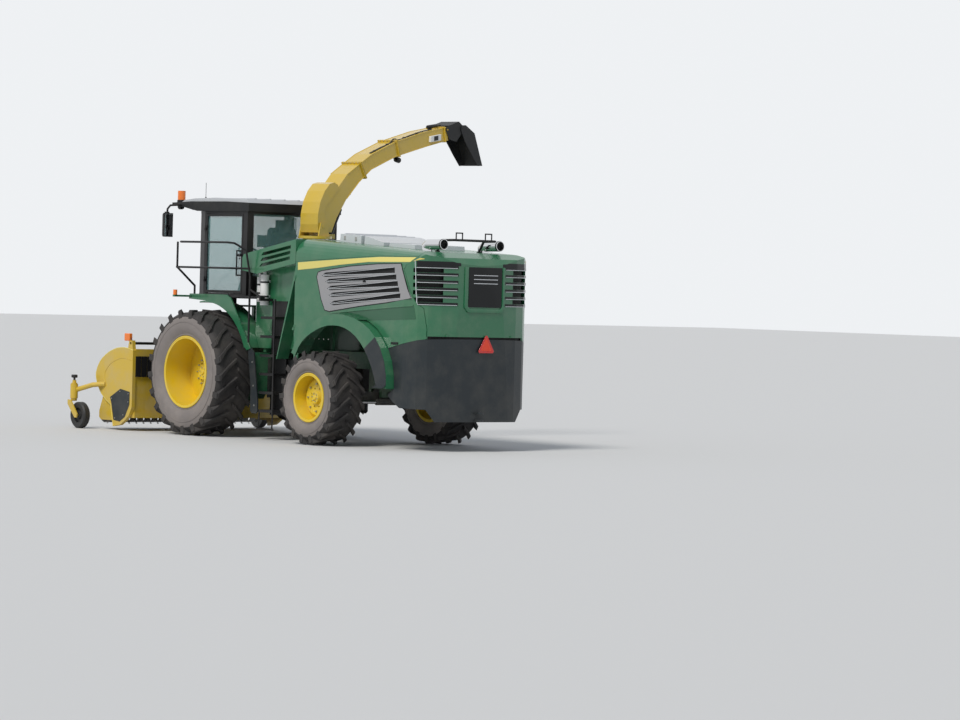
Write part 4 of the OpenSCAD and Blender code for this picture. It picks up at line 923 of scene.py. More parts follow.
@dataclass
class SideDress:
    """Dress of the sides: stripe, crease, grille screen and latch, screws, arch tip and mudguard strip."""

    grille_x: float = 1.0855
    arch_y: float = 3.400
    arch_z: float = 0.950

    def press(self, name: str, low: list[Pair], high: list[Pair], node: str, count: int, rows: int = 4,
              thick: float = 0.002, soft: float = 0.0) -> Solid:
        """Press a strip between two lines of (back, up) points on to the left side.

        Args:
            name: the piece's name.
            low: the points of its lower edge.
            high: the points of its upper edge.
            node: the node that it lies on.
            count: the columns of the strip.
            rows: the rows of the strip.
            thick: its thickness.
            soft: the width of its rounded edges.

        Returns:
            The strip, closed.
        """
        lines = [along(side_line(1.2, line), count) for line in (low, high)]
        return lay_on(sheet(name, between(*lines, rows)), node, "x", thick, soft)

    def stripe(self) -> None:
        """Lay the yellow stripe along the panel."""
        low = [(2.312, 2.614), (2.778, 2.649), (3.353, 2.706), (4.019, 2.756), (4.985, 2.767)]
        high = [(2.308, 2.728), (2.966, 2.766), (3.573, 2.798), (4.236, 2.832), (5.075, 2.838)]
        both(self.press("stripe", low, high, "panel_left", 48, 6), STRIPE, PANELS)

    def crease(self) -> None:
        """Raise the crease across the panel and lay a strip of painted shade under it."""
        line = [(3.160, 1.978), (3.898, 2.041), (4.500, 2.090), (5.070, 2.132)]
        top = [(y, z + 0.012) for y, z in line]
        bottom = [(y, z - 0.010) for y, z in line]
        both(self.press("crease", bottom, top, "panel_left", 40, 3, 0.012, 0.004), GREEN, PANELS)
        # This strip is painted shade: a darker green that stands in for the shadow under the crease.
        under = [(3.200, 1.968), (4.051, 1.893), (4.600, 1.912), (5.120, 1.934)]
        both(self.press("crease_shade_strip", under, [(y + 0.01, z - 0.013) for y, z in line], "panel_left", 40, 6),
             PAINTED_SHADE_GREEN, PANELS)

    def backing(self) -> None:
        """Close the grille from behind with a dark screen and frame it in black."""
        edge = [(2.80, 2.525), (2.825, 2.580), (2.905, 2.600), (3.578, 2.677), (4.241, 2.720), (4.795, 2.735),
                (4.825, 2.660), (4.945, 2.390), (5.0, 2.250), (4.484, 2.175), (3.827, 2.107), (3.114, 2.015),
                (3.005, 2.035), (2.915, 2.190)]
        outline = [(2.784, 2.517), (2.815, 2.587), (2.905, 2.611), (3.578, 2.688), (4.241, 2.731),
                   (4.800, 2.745), (4.835, 2.660), (4.960, 2.390), (5.035, 2.240), (4.484, 2.163),
                   (3.827, 2.095), (3.114, 2.003), (3.000, 2.021), (2.902, 2.186)]
        ring = [at(1.0825 if y < 5.0 else 1.072, y, z) for y, z in [*outline, outline[0]]]
        both(pipe("grille_outline", ring, 0.007, 8, False), GLOSS_BLACK, PANELS)
        both(plate("screen", side_line(1.0455, edge), Vector((0.004, 0, 0)), 0), MESH, PANELS)

    def louvre_lips(self) -> None:
        """Edge each slot of the grille with a fine bright bar and put the latch in the second one."""
        slots = [((2.905, 2.541), (4.657, 2.682), (4.661, 2.604)),
                 ((2.991, 2.446), (4.695, 2.580), (4.700, 2.507)),
                 ((3.041, 2.343), (4.731, 2.484), (4.745, 2.413)),
                 ((3.091, 2.243), (4.768, 2.393), (4.781, 2.329)),
                 ((3.125, 2.120), (4.804, 2.305), (4.800, 2.238))]
        bars = []
        for tip, top, low in slots:
            for end, rise_a, rise_b, radius in ((low, -0.004, -0.006, 0.0045), (top, 0.008, 0.006, 0.0035)):
                a = at(self.grille_x, tip[0] + 0.03, tip[1] + rise_a)
                bars.append(rod("bar", a, at(self.grille_x, end[0] - 0.02, end[1] + rise_b), radius, 8))
        both(join("grille_bars", bars), SILVER, PANELS)
        latch = block("latch", at(1.062, 3.905, 2.452), at(1.090, 3.985, 2.492), 0.006)
        pin = rod("pin", at(1.088, 3.945, 2.472), at(1.096, 3.945, 2.472), 0.012, 16, 0.002)
        both(join("grille_latch", [latch, pin]), GLOSS_BLACK, PANELS)

    def arch_tip(self) -> None:
        """Lay the dark grey end over the rear of the arch's lip."""
        rows = ((35, 0.913, 1.225), (26, 0.938, 1.262), (16, 0.969, 1.290), (7, 1.012, 1.300),
                (-2, 1.064, 1.300))
        lines = ([], [])
        for degrees, *radii in rows:
            a = math.radians(degrees)
            for line, radius, inset in zip(lines, radii, (0.003, -0.003)):
                r = radius + inset
                line.append(at(1.30, self.arch_y + r * math.cos(a), self.arch_z + r * math.sin(a)))
        rows = between(steps(lines[0], 4), steps(lines[1], 4), 5)
        tip = lay_on(sheet("arch_tip", rows), "rear_fenders", "x", 0.003)
        both(tip, SKIRT_GREY, MACHINE)

    def mudguard_strip(self) -> None:
        """Sheathe the strip behind the front wheel in dark plastic and bolt it on."""
        edge = ((1.166, 1.3985), (1.243, 1.332), (1.3735, 0.560), (1.3735, 0.429), (1.331, 0.3965),
                (1.229, 0.3965), (1.1865, 0.439), (1.1865, 0.800), (1.0965, 1.352))
        sheath = plate("mudguard_strip", side_line(1.058, edge), Vector((0.0245, 0, 0)), 0.002)
        both(sheath, SKIRT_GREY, MACHINE)
        feet = side_line(1.081, ((1.290, 0.520), (1.255, 0.820), (1.215, 1.180)))
        both(studs("mudguard_bolts", feet, X_AXIS * 0.008, 0.014, 16, 0.003), ZINC, MACHINE)

    def fasteners(self) -> None:
        """Fit the black pull and the row of screws along the panel's lower edge."""
        pull = block("pull", at(1.079, 4.62, 1.555), at(1.092, 4.78, 1.590), 0.005)
        both(pull, GLOSS_BLACK, PANELS)
        feet = side_line(1.079, [(2.42 + k * 0.115, 1.585) for k in range(7)])
        both(studs("panel_screws", feet, X_AXIS * 0.0055, 0.009, 12, 0.002), ZINC, PANELS)

    def build(self) -> None:
        """Dress both side panels."""
        self.stripe()
        self.crease()
        self.backing()
        self.louvre_lips()
        self.arch_tip()
        self.mudguard_strip()
        self.fasteners()


@dataclass
class Tail:
    """Louvre bars, centre panel, rib and red triangle of the rounded tail."""

    half_w: float = 1.065
    front_y: float = 5.0
    depth: float = 0.37

    def plan(self, turn: float, inset: float = -0.02) -> Pair:
        """Place a point of the tail's plan.

        Args:
            turn: how far round it is, from 0 at the left side to pi at the right.
            inset: how far inside the skin it is, in metres.

        Returns:
            Its x and y in machine metres.
        """
        c, s = math.cos(turn), math.sin(turn)
        x = math.copysign((self.half_w - inset) * abs(c) ** 0.75, c)
        return x, self.front_y + (self.depth - inset) * s**0.8

    def wrap(self, name: str, low: list[Pair], high: list[Pair], count: int, rows: int, thick: float = 0.002,
             soft: float = 0.0, node: str = "rear_hood") -> Solid:
        """Wrap a strip between two lines of (turn, up) points round the tail.

        Args:
            name: the piece's name.
            low: the points of its lower edge.
            high: the points of its upper edge.
            count: the columns of the strip.
            rows: the rows of the strip.
            thick: its thickness.
            soft: the width of its rounded edges.
            node: the node that it lies on.

        Returns:
            The strip, closed.
        """
        lines = []
        for line in (low, high):
            run = along([Vector((t, 0, z)) for t, z in line], count)
            lines.append([at(*self.plan(p.x), p.z) for p in run])
        return lay_on(sheet(name, between(*lines, rows)), node, "", thick, soft)

    def stripe_tail(self) -> None:
        """Carry the stripe round on to the tail and taper it away."""
        low = [(0.055, 2.776), (0.25, 2.798), (0.50, 2.814)]
        high = [(0.240, 2.838), (0.34, 2.834), (0.50, 2.824)]
        both(self.wrap("stripe_tail", low, high, 26, 4), STRIPE, MACHINE)

    def dark_field(self) -> None:
        """Close the louvres, and the gap above the skirts, from behind with walls that follow the tail."""
        turns = [0.12 + (math.pi - 0.24) * k / 48 for k in range(49)]
        for name, inset, heights in (("louvre_wall", 0.062, (2.14, 2.30, 2.45, 2.60, 2.715)),
                                     ("tail_seal", 0.045, (1.59, 1.67, 1.75))):
            wall = sheet(name, [[at(*self.plan(t, inset), z) for t in turns] for z in heights])
            modify(wall, "SOLIDIFY", thickness=0.003, offset=0.0)
            fit(smooth(wall), MESH, "machine")

    def bars(self) -> None:
        """Lay gloss black bars with bright edges between the louvre slots, and a black field round them."""
        low, high = [(0.225, 2.728), (1.30, 2.728)], [(0.215, 2.788), (1.30, 2.788)]
        both(self.wrap("louvre_top", low, high, 36, 4), GLOSS_BLACK, MACHINE)
        low = [(0.272, 2.125), (0.205, 2.40), (0.165, 2.70), (0.150, 2.80)]
        high = [(0.300, 2.125), (0.232, 2.40), (0.188, 2.70), (0.172, 2.80)]
        both(self.wrap("louvre_frame", low, high, 24, 3, 0.006), SILVER, MACHINE)
        for k in range(6):
            start, low = 0.315 - 0.018 * k, 2.148 + k * 0.108
            for name, end, high, rows, thick, finish in (
                    ("louvre", 1.255, low + 0.039, 4, 0.006, GLOSS_BLACK),
                    ("louvre_edge", 1.24, low + 0.008, 2, 0.010, SILVER)):
                lines = [[(start, z), (end, z)] for z in (low, high)]
                both(self.wrap(f"{name}_{k}", *lines, 40, rows, thick), finish, MACHINE)

    def centre(self) -> None:
        """Lay the dark centre panel and raise the rib that runs round it."""
        behind = 5.42
        xs, zs = [0.250 - 0.635 * k / 24 for k in range(25)], [2.130 + 0.098 * k for k in range(7)]
        panel = sheet("centre_panel", [[at(x, behind, z) for x in xs] for z in zs])
        fit(lay_on(panel, "rear_hood", "y", 0.004), GLOSS_BLACK, "machine")
        inner = [(0.272, 2.720), (0.272, 2.150), (0.235, 2.105), (-0.360, 2.105), (-0.397, 2.150),
                 (-0.397, 2.720)]
        outer = [(0.332, 2.720), (0.332, 2.125), (0.262, 2.050), (-0.382, 2.050), (-0.440, 2.120),
                 (-0.440, 2.720)]
        lines = [steps([at(x, behind, z) for x, z in line], 10) for line in (inner, outer)]
        fit(lay_on(sheet("centre_rib", between(*lines, 4)), "rear_hood", "y", 0.018, 0.006), GREEN, "machine")
        slats = [rod("slat", at(0.16, 5.374, z), at(-0.30, 5.366, z), 0.006, 10) for z in (2.60, 2.54, 2.48)]
        fit(join("centre_slats", slats), SILVER, "machine")

    def reflector(self) -> None:
        """Hang the red triangle low on the tail."""
        mid_x, mid_z, reach = -0.105, 1.555, 0.19
        turns = (math.pi / 2, math.pi * 7 / 6, math.pi * 11 / 6)
        corners = [(mid_x + reach * math.cos(a), mid_z + reach * math.sin(a)) for a in turns]
        cut = []
        for i, (x, z) in enumerate(corners):
            for to_x, to_z in (corners[i - 1], corners[(i + 1) % 3]):
                cut.append((x + (to_x - x) * 0.10, z + (to_z - z) * 0.10))
        middle = [((x - mid_x) * 0.66 + mid_x, (z - mid_z) * 0.66 + mid_z) for x, z in cut]
        y = self.plan(math.pi / 2, 0)[1] + 0.004
        for name, line, stand, thick, finish in (("triangle", cut, 0.0, 0.004, RED),
                                                 ("triangle_middle", middle, 0.0035, 0.003, SIGNAL)):
            face = [at(x, y + stand, z) for x, z in line]
            fit(plate(name, face, Y_AXIS * thick, 0.001), finish, "machine")

    def build(self) -> None:
        """Dress the tail."""
        self.stripe_tail()
        self.dark_field()
        self.bars()
        self.centre()
        self.reflector()


@dataclass
class Deck:
    """Exhaust mouths, painted highlight band of the hood, box trim and screws of the rear deck."""

    front_y: float = 2.250
    front_z: float = 3.085
    fall: float = 0.0564

    def top(self, y: float) -> float:
        """Read the height of the sloping deck at a distance back."""
        return self.front_z - (y - self.front_y) * self.fall

    def exhaust_mouths(self) -> None:
        """Line the exhaust mouths with black rings and dark throats."""
        for side, name in ((1, "left"), (-1, "right")):
            mid = at(0.540 * side, 5.1, 3.042)
            wall = ((-0.060, 0.069), (0.012, 0.070), (0.017, 0.076), (0.010, 0.081), (-0.012, 0.0795),
                    (-0.014, 0.078), (0.008, 0.0775))
            ring = [mid + Vector((0, y, r)) for y, r in wall]
            collar = lathe("collar", ring + [ring[0]], mid, Y_AXIS, 48)
            throat = rod("throat", mid + Vector((0, -0.075, 0)), mid + Vector((0, -0.068, 0)), 0.0695, 40)
            fit(join(f"exhaust_mouth_{name}", [collar, throat]), HOSE, "machine")

    def box_trim(self) -> None:
        """Lay battens across the deck box and clip down its sides."""
        battens = []
        for y in (2.70, 2.93, 3.14):
            top = self.top(y) + 0.122
            battens.append(block("batten", at(-0.50, y - 0.014, top - 0.004),
                                 at(0.50, y + 0.014, top + 0.010)))
        fit(join("box_battens", battens), PALE, "machine")
        clips = []
        for y in (2.78, 3.05):
            z = self.top(y) + 0.065
            for side in (1, -1):
                low, high = at(0.558 * side, y - 0.02, z - 0.03), at(0.570 * side, y + 0.02, z + 0.03)
                clips.append(block("clip", low, high, 0.003))
        fit(join("box_clips", clips), ZINC, "machine")

    def hood_highlight_band(self) -> None:
        """Lay a silver band across the front of the hood as a painted highlight of its gloss."""
        xs = [0.80 - 1.60 * k / 32 for k in range(33)]
        rows = [[at(x, y, 3.30) for x in xs] for y in (2.275, 2.30, 2.33, 2.36)]
        # The silver band is a painted highlight where the hood's glossy front catches the sky.
        fit(lay_on(sheet("hood_highlight_band", rows), "hood_deck", "z", 0.003), SILVER, "machine")

    def deck_screws(self) -> None:
        """Fix the deck with a row of screws down each side."""
        places = [(0.70 * side, 2.42 + 0.21 * k) for side in (1, -1) for k in range(12)]
        feet = [at(x, y, self.top(y) - 0.004) for x, y in places]
        fit(studs("deck_screws", feet, Z_AXIS * 0.009, 0.010, 10, 0.002), ZINC, "machine")

    def build(self) -> None:
        """Dress the deck."""
        self.exhaust_mouths()
        self.box_trim()
        self.hood_highlight_band()
        self.deck_screws()


@dataclass
class Cab:
    """Roof skin, lamps, seat, mirrors, beacon foot, aerial and door handle of the cab."""

    def roof(self) -> None:
        """Lay the silver skin over the roof and hang the work lamps under the visor."""
        edge = [(0.7215, 3.603), (0.662, 3.6965), (-0.150, 3.7165), (-0.720, 3.7045), (-0.981, 3.6785),
                (-1.063, 3.643), (-0.700, 3.622), (0.200, 3.622)]
        fit(plate("roof_skin", side_line(-0.8665, edge), Vector((1.733, 0, 0)), 0.003), SILVER, "machine")
        ribs = [block("rib", at(x - 0.02, -0.60, 3.700), at(x + 0.02, 0.50, 3.7185), 0.006)
                for x in (-0.56, -0.28, 0.0, 0.28, 0.56)]
        fit(join("roof_ribs", ribs), SILVER, "machine")
        rims, lenses = [], []
        for x in (-0.78, -0.52, -0.26, 0.26, 0.52, 0.78):
            mid = at(x, -1.235, 3.575)
            rims.append(rod("shell", mid, mid + Vector((0, 0.075, 0)), 0.044, 24, 0.006))
            low, high = mid + Vector((-0.012, 0.02, 0.03)), mid + Vector((0.012, 0.05, 0.042))
            rims.append(block("foot", low, high, 0.002))
            front, back = mid + Vector((0, -0.004, 0)), mid + Vector((0, 0.002, 0))
            lenses.append(rod("lens", front, back, 0.037, 24, 0.002))
        fit(join("roof_lamps", rims), PLASTIC, "machine")
        fit(join("roof_lenses", lenses), LAMP, "machine")

    def seat(self) -> None:
        """Sew the driver's cushion, backrest and headrest."""
        lean, foot = math.radians(-14), at(0, 0.385, 2.600)
        self.cushion("seat_cushion", at(-0.262, -0.125, 2.490), at(0.262, 0.345, 2.606), 0.0, foot, 0.022)
        self.cushion("backrest", at(-0.245, 0.330, 2.600), at(0.245, 0.440, 3.235), lean, foot, 0.022)
        self.cushion("headrest", at(-0.135, 0.462, 3.205), at(0.135, 0.572, 3.395), 0.0, foot, 0.014)

    def cushion(self, name: str, low: Vector, high: Vector, lean: float, foot: Vector, most: float) -> None:
        """Inflate one cushion out of a slightly smaller block.

        Args:
            name: the piece's name.
            low: the cushion's lowest corner.
            high: its highest corner.
            lean: how far it leans back.
            foot: the point that it leans about.
            most: how far any point may be blown out, in metres.
        """
        inset = Vector((0.010, 0.010, 0.006))
        start = block(name + "_core", low + inset, high - inset, 0.028)
        obj = bpy.data.objects.new(name, start.data.copy())
        bpy.context.scene.collection.objects.link(obj)
        bpy.data.objects.remove(start)
        modify(obj, "REMESH", mode="VOXEL", voxel_size=0.012)
        rest = [v.co.copy() for v in obj.data.vertices]
        pick(obj)
        bpy.ops.object.modifier_add(type="CLOTH")
        cloth = obj.modifiers[-1]
        cloth.settings.use_pressure = True
        cloth.settings.uniform_pressure_force = 4.0
        cloth.settings.effector_weights.gravity = 0.0
        for step in range(1, 15):
            bpy.context.scene.frame_set(step)
        bpy.ops.object.modifier_apply(modifier=cloth.name)
        bpy.context.scene.frame_set(1)
        for vertex, place in zip(obj.data.vertices, rest):
            move = vertex.co - place
            if move.length > most:
                vertex.co = place + move.normalized() * most
        modify(obj, "SMOOTH", iterations=4, factor=0.5)
        modify(obj, "SUBSURF", levels=1, render_levels=1)
        if lean:
            pick(obj)
            obj.matrix_world = turn_about(foot, lean, X_AXIS) @ obj.matrix_world
            settle(obj)
        fit(smooth(obj, 60), SEAT, "machine")

    def mirrors(self) -> None:
        """Glaze both mirrors and screw on their clamps."""
        glass = block("mirror_glass", at(1.150, -0.9065, 3.100), at(1.290, -0.9010, 3.445), 0.002)
        both(glass, MIRROR_GLASS, MACHINE)
        clamp = block("mirror_clamp", at(1.195, -0.99, 3.455), at(1.245, -0.92, 3.482), 0.005)
        both(clamp, PLASTIC, MACHINE)

    def fittings(self) -> None:
        """Fit the beacon foot, the aerial and the door handle."""
        mid = at(0.820, -1.130, 3.641)
        wall = ((0.0, 0.0), (0.070, 0.0), (0.072, 0.020), (0.066, 0.038), (0.0635, 0.040), (0.0635, 0.012),
                (0.0, 0.012))
        base = [mid + Vector((r, 0, z)) for r, z in wall]
        foot = lathe("beacon_foot", base + [base[0]], mid, Z_AXIS, 40)
        fit(foot, GLOSS_BLACK, "machine")
        whip = rod("aerial", at(0.60, -0.78, 3.700), at(0.60, -0.78, 3.960), 0.004, 10, 0.001)
        stub = rod("stub", at(0.60, -0.78, 3.690), at(0.60, -0.78, 3.735), 0.013, 16, 0.003)
        fit(join("aerial", [whip, stub]), HOSE, "machine")
        grip = block("door_handle", at(0.876, 0.505, 2.800), at(0.900, 0.585, 2.840), 0.008)
        lock = rod("lock", at(0.876, 0.545, 2.770), at(0.886, 0.545, 2.770), 0.012, 16, 0.002)
        fit(join("door_handle", [grip, lock]), GLOSS_BLACK, "cab_door")

    def build(self) -> None:
        """Dress the cab."""
        self.roof()
        self.seat()
        self.mirrors()
        self.fittings()


@dataclass
class Spout:
    """Flanges, lips, lamp, box, motor and pipes of the discharge spout.

    Its top and low lines hold the distance out and the height of the duct's upper and lower walls.
    """

    half_w: float = 0.177
    top: tuple[Pair, ...] = ((0.300, 3.905), (0.520, 4.135), (0.790, 4.300), (1.070, 4.465), (1.640, 4.690),
                             (2.360, 4.885), (2.900, 4.985))
    low: tuple[Pair, ...] = ((0.300, 3.450), (0.520, 3.755), (0.790, 4.020), (1.070, 4.230), (1.640, 4.458),
                             (2.360, 4.648), (2.900, 4.778))

    def height(self, line: tuple[Pair, ...], u: float) -> float:
        """Read the height of the duct's top or bottom at a distance out.

        Args:
            line: the top line or the low line.
            u: metres out from the turret's axis.

        Returns:
            The height there.
        """
        for a, b in zip(line, line[1:]):
            if u <= b[0]:
                return a[1] + (b[1] - a[1]) * (u - a[0]) / (b[0] - a[0])
        return line[-1][1]

    def flange(self, u: float, stand: float, thick: float) -> Solid:
        """Weld one flange round the duct, square to its run.

        Args:
            u: how far out it is.
            stand: how far it stands off the duct.
            thick: its thickness.

        Returns:
            The flange, open in the middle.
        """
        run = Vector((0.1, (self.height(self.top, u + 0.05) - self.height(self.top, u - 0.05)))).normalized()
        deep = (self.height(self.top, u) - self.height(self.low, u)) * run.x
        up = Vector((-run.y, run.x))
        mid = Vector((u, self.height(self.top, u))) - up * deep / 2
        frames = []
        for half_w, half_h, half_t in ((self.half_w + stand, deep / 2 + stand, thick / 2),
                                       (0.172, deep / 2 - 0.004, thick)):
            corners = [mid + up * half_h * a + run * half_t * b
                       for a, b in ((1, -1), (-1, -1), (-1, 1), (1, 1))]
            face = [spout_at(-half_w, p.x, p.y) for p in corners]
            frames.append(plate("flange", face, spout_at(half_w, 0, 0) - spout_at(-half_w, 0, 0), 0.0))
        return soften(carve(frames[0], frames[1]), 0.002, 1)

    def flanges(self) -> None:
        """Weld the flanges and bolt them up."""
        rings = ((0.800, 0.028, 0.012), (0.816, 0.028, 0.010), (1.640, 0.030, 0.012), (1.656, 0.030, 0.010),
                 (2.790, 0.022, 0.012))
        fit(join("spout_flanges", [self.flange(*ring) for ring in rings]), YELLOW, "spout")
        bolts = []
        for u in (0.808, 1.648):
            top = self.height(self.top, u) + 0.014
            for x in (-0.15, -0.075, 0.0, 0.075, 0.15):
                bolts.append(rod("bolt", spout_at(x, u - 0.026, top - 0.006),
                                 spout_at(x, u + 0.026, top + 0.008), 0.009, 6, 0.001))
        fit(join("flange_bolts", bolts), ZINC, "spout")

    def edges(self) -> None:
        """Fold a stiffening lip along each top and bottom edge of the duct."""
        lips = []
        for x in (self.half_w, -self.half_w):
            for line in (self.top, self.low):
                run = [spout_at(x, u, z) for u, z in line[1:]]
                lips.append(pipe("lip", run, 0.007, 8, False))
        fit(join("spout_lips", lips), YELLOW, "spout")

    def lamp_and_boxes(self) -> None:
        """Hang the work lamp under the duct and fix the box to its side."""
        arm = rod("arm", spout_at(0.0, 1.680, 4.470), spout_at(0.0, 1.860, 4.425), 0.012, 12, 0.002)
        shell = rod("shell", spout_at(0.0, 1.840, 4.425), spout_at(0.0, 1.930, 4.405), 0.045, 24, 0.008)
        fit(join("spout_lamp", [arm, shell]), GLOSS_BLACK, "spout")
        fit(rod("spout_lens", spout_at(0.0, 1.929, 4.405), spout_at(0.0, 1.935, 4.4037), 0.038, 24, 0.002),
            LAMP, "spout")
        foot = [spout_at(0.176, u, z)
                for u, z in ((2.43, 4.720), (2.68, 4.760), (2.68, 4.860), (2.43, 4.815))]
        out = spout_at(0.050, 0, 0) - spout_at(0, 0, 0)
        fit(plate("spout_box", foot, out, 0.006), WHITE, "spout")
        face = [spout_at(0.2265, u, z)
                for u, z in ((2.505, 4.745), (2.60, 4.760), (2.60, 4.832), (2.505, 4.815))]
        fit(plate("spout_box_face", face, out * 0.12, 0.002), GLOSS_BLACK, "spout")

    def linkage(self) -> None:
        """Fit the flap's motor, rod and brackets on top of the duct's end."""
        motor = rod("motor", spout_at(0.06, 2.52, 4.965), spout_at(0.06, 2.74, 5.000), 0.030, 20, 0.006)
        foot = block("foot", spout_at(0.10, 2.56, 4.915), spout_at(0.02, 2.60, 4.960), 0.003)
        shaft = rod("shaft", spout_at(0.06, 2.74, 5.000), spout_at(0.06, 2.84, 5.015), 0.010, 12)
        fit(join("flap_motor", [motor, foot, shaft]), BLACK, "spout")
        rises = {1.10: 0.010, 1.35: 0.010, 1.60: 0.010, 1.66: 0.042, 1.74: 0.010, 2.05: 0.010, 2.36: 0.010,
                 2.52: 0.010}
        hoses = []
        for x in (0.10, 0.125):
            line = [spout_at(x, u, self.height(self.top, u) + rise) for u, rise in rises.items()]
            hoses.append(pipe("line", line, 0.007))
        clips = []
        for u in (1.20, 1.50, 1.90, 2.20):
            z = self.height(self.top, u)
            clips.append(block("clip", spout_at(0.142, u - 0.012, z - 0.004),
                               spout_at(0.084, u + 0.012, z + 0.020), 0.002))
        fit(join("spout_pipes", hoses + clips), HOSE, "spout")

    def build(self) -> None:
        """Dress the spout."""
        self.flanges()
        self.edges()
        self.lamp_and_boxes()
        self.linkage()


@dataclass
class Header:
    """Rolled edges, wear plates, marker lamps, curtain and caster caps of the pick-up header.

    Its shield line holds the distance back and the height of the points round an end shield.
    """

    shield: tuple[Pair, ...] = ((-1.300, 1.280), (-1.400, 1.300), (-1.540, 1.314), (-1.649, 1.311),
                                (-1.750, 1.300), (-1.840, 1.277), (-1.950, 1.240), (-2.051, 1.191),
                                (-2.145, 1.135), (-2.218, 1.070), (-2.280, 0.985), (-2.315, 0.900),
                                (-2.318, 0.840), (-2.290, 0.755), (-2.225, 0.650), (-2.152, 0.564),
                                (-2.018, 0.472), (-1.886, 0.404), (-1.806, 0.060))

    def rolled_edges(self) -> None:
        """Roll an edge round both end shields, in a paler yellow that paints the highlight along it."""
        edge = pipe("shield_edge", side_line(1.553, self.shield), 0.010, 8, False)
        # The paler yellow on this edge is a painted highlight.
        both(edge, HIGHLIGHT_YELLOW, HEADER)
        bend = ((-1.34, 1.12), (-1.55, 1.15), (-1.80, 1.10), (-1.98, 1.00), (-2.07, 0.86), (-2.02, 0.70))
        ridge = pipe("shield_ridge", side_line(1.560, bend), 0.006)
        both(ridge, YELLOW, HEADER)

    def lower_panel(self) -> None:
        """Fix the dark wear plate low on each end shield."""
        edge = [(-1.36, 0.42), (-1.36, 0.62), (-1.62, 0.66), (-1.90, 0.52), (-1.86, 0.42), (-1.79, 0.16),
                (-1.62, 0.14), (-1.48, 0.22)]
        wear = plate("wear_plate", side_line(1.5605, edge), Vector((0.004, 0, 0)), 0.001)
        both(wear, SKIRT_GREY, HEADER)
        feet = ((-1.39, 0.46), (-1.39, 0.59), (-1.62, 0.62), (-1.85, 0.50), (-1.75, 0.19), (-1.52, 0.25))
        both(studs("wear_bolts", side_line(1.563, feet), X_AXIS * 0.010, 0.010, 6, 0.001), ZINC, HEADER)

    def lamps(self) -> None:
        """Stand a marker lamp on its curved stalk at each end."""
        bend = [at(1.525, -1.40, 1.290), *side_line(1.530, ((-1.36, 1.36), (-1.38, 1.44), (-1.42, 1.475)))]
        stalk = pipe("marker_stalk", bend, 0.008)
        shell = block("shell", at(1.495, -1.560, 1.425), at(1.556, -1.415, 1.545), 0.012)
        both(stalk, HOSE, HEADER)
        both(shell, ORANGE, HEADER)

    def curtain(self) -> None:
        """Hang the dark rubber strips behind the header's top beam."""
        strips = []
        for k in range(8):
            for side in (1, -1):
                x = 0.62 + k * 0.112
                a, b = at(side * x, -1.296, 0.86), at(side * (x + 0.104), -1.291, 1.186)
                strips.append(block("strip", Vector((min(a.x, b.x), a.y, a.z)),
                                    Vector((max(a.x, b.x), b.y, b.z)), 0.001))
        fit(join("curtain", strips), HOSE, "header")

    def casters(self) -> None:
        """Cap the caster spindles."""
        cap = rod("cap", at(1.780, -2.600, 0.800), at(1.780, -2.600, 0.850), 0.050, 28, 0.010)
        stem = rod("stem", at(1.780, -2.600, 0.690), at(1.780, -2.600, 0.805), 0.018, 16)
        both(join("caster_cap", [cap, stem]), HOSE, HEADER)

    def build(self) -> None:
        """Dress the header."""
        self.rolled_edges()
        self.lower_panel()
        self.lamps()
        self.curtain()
        self.casters()


@dataclass
class Access:
    """Grips of the ladder's steps, and bands and heads of the extinguishers."""

    treads: tuple[float, ...] = (0.420, 0.700, 0.985, 1.270, 1.560, 1.850)

    def grips(self) -> None:
        """Lay ribbed grip plates on the ladder's steps."""
        parts = []
        for z in self.treads:
            top = z + 0.020
            for k in range(5):
                x = 0.875 + 0.038 * k
                parts.append(block("rib", at(x, 1.40, top - 0.002), at(x + 0.010, 1.72, top + 0.006), 0.002))
        fit(join("step_grips", parts), ZINC, "machine")

    def extinguishers(self) -> None:
        """Strap the extinguishers and fit their heads."""
        bands, heads = [], []
        for x, y, z0, z1, r in ((0.918, 1.262, 2.060, 2.530, 0.066), (0.900, 1.120, 2.110, 2.490, 0.046)):
            for z in (z0 + 0.12, z1 - 0.13):
                wall = ((-0.002, 0.0), (0.003, 0.0), (0.003, 0.028), (-0.002, 0.028))
                ring = [at(x + r + out, y, z + up) for out, up in wall]
                bands.append(lathe("band", ring + [ring[0]], at(x, y, z), Z_AXIS, 36))
            heads.append(rod("valve", at(x, y, z1 + 0.045), at(x, y, z1 + 0.085), 0.018, 16, 0.003))
            heads.append(block("lever", at(x - 0.010, y - 0.012, z1 + 0.070),
                               at(x + 0.010, y + 0.085, z1 + 0.082), 0.003))
            heads.append(block("handle", at(x - 0.010, y - 0.012, z1 + 0.046),
                               at(x + 0.010, y + 0.075, z1 + 0.056), 0.003))
        fit(join("extinguisher_bands", bands), HOSE, "machine")
        fit(join("extinguisher_heads", heads), GLOSS_BLACK, "machine")

    def build(self) -> None:
        """Dress the ladder and the extinguishers."""
        self.grips()
        self.extinguishers()


ASSEMBLIES = (
    Wheel("front", hub_y=0.0, radius=0.985, width=0.700, rim_d=1.125, seat_w=0.590, lugs=21,
          hub_x=-0.098, nut_ring=0.207, nuts=12, cap_r=0.118, cap_x=-0.030),
    Wheel("rear", hub_y=3.100, radius=0.710, width=0.600, rim_d=0.740, seat_w=0.490, lugs=18,
          hub_x=0.092, nut_ring=0.205, nuts=8, cap_r=0.092, cap_x=0.136),
    SideDress(),
    Tail(),
    Deck(),
    Cab(),
    Spout(),
    Header(),
    Access(),
)


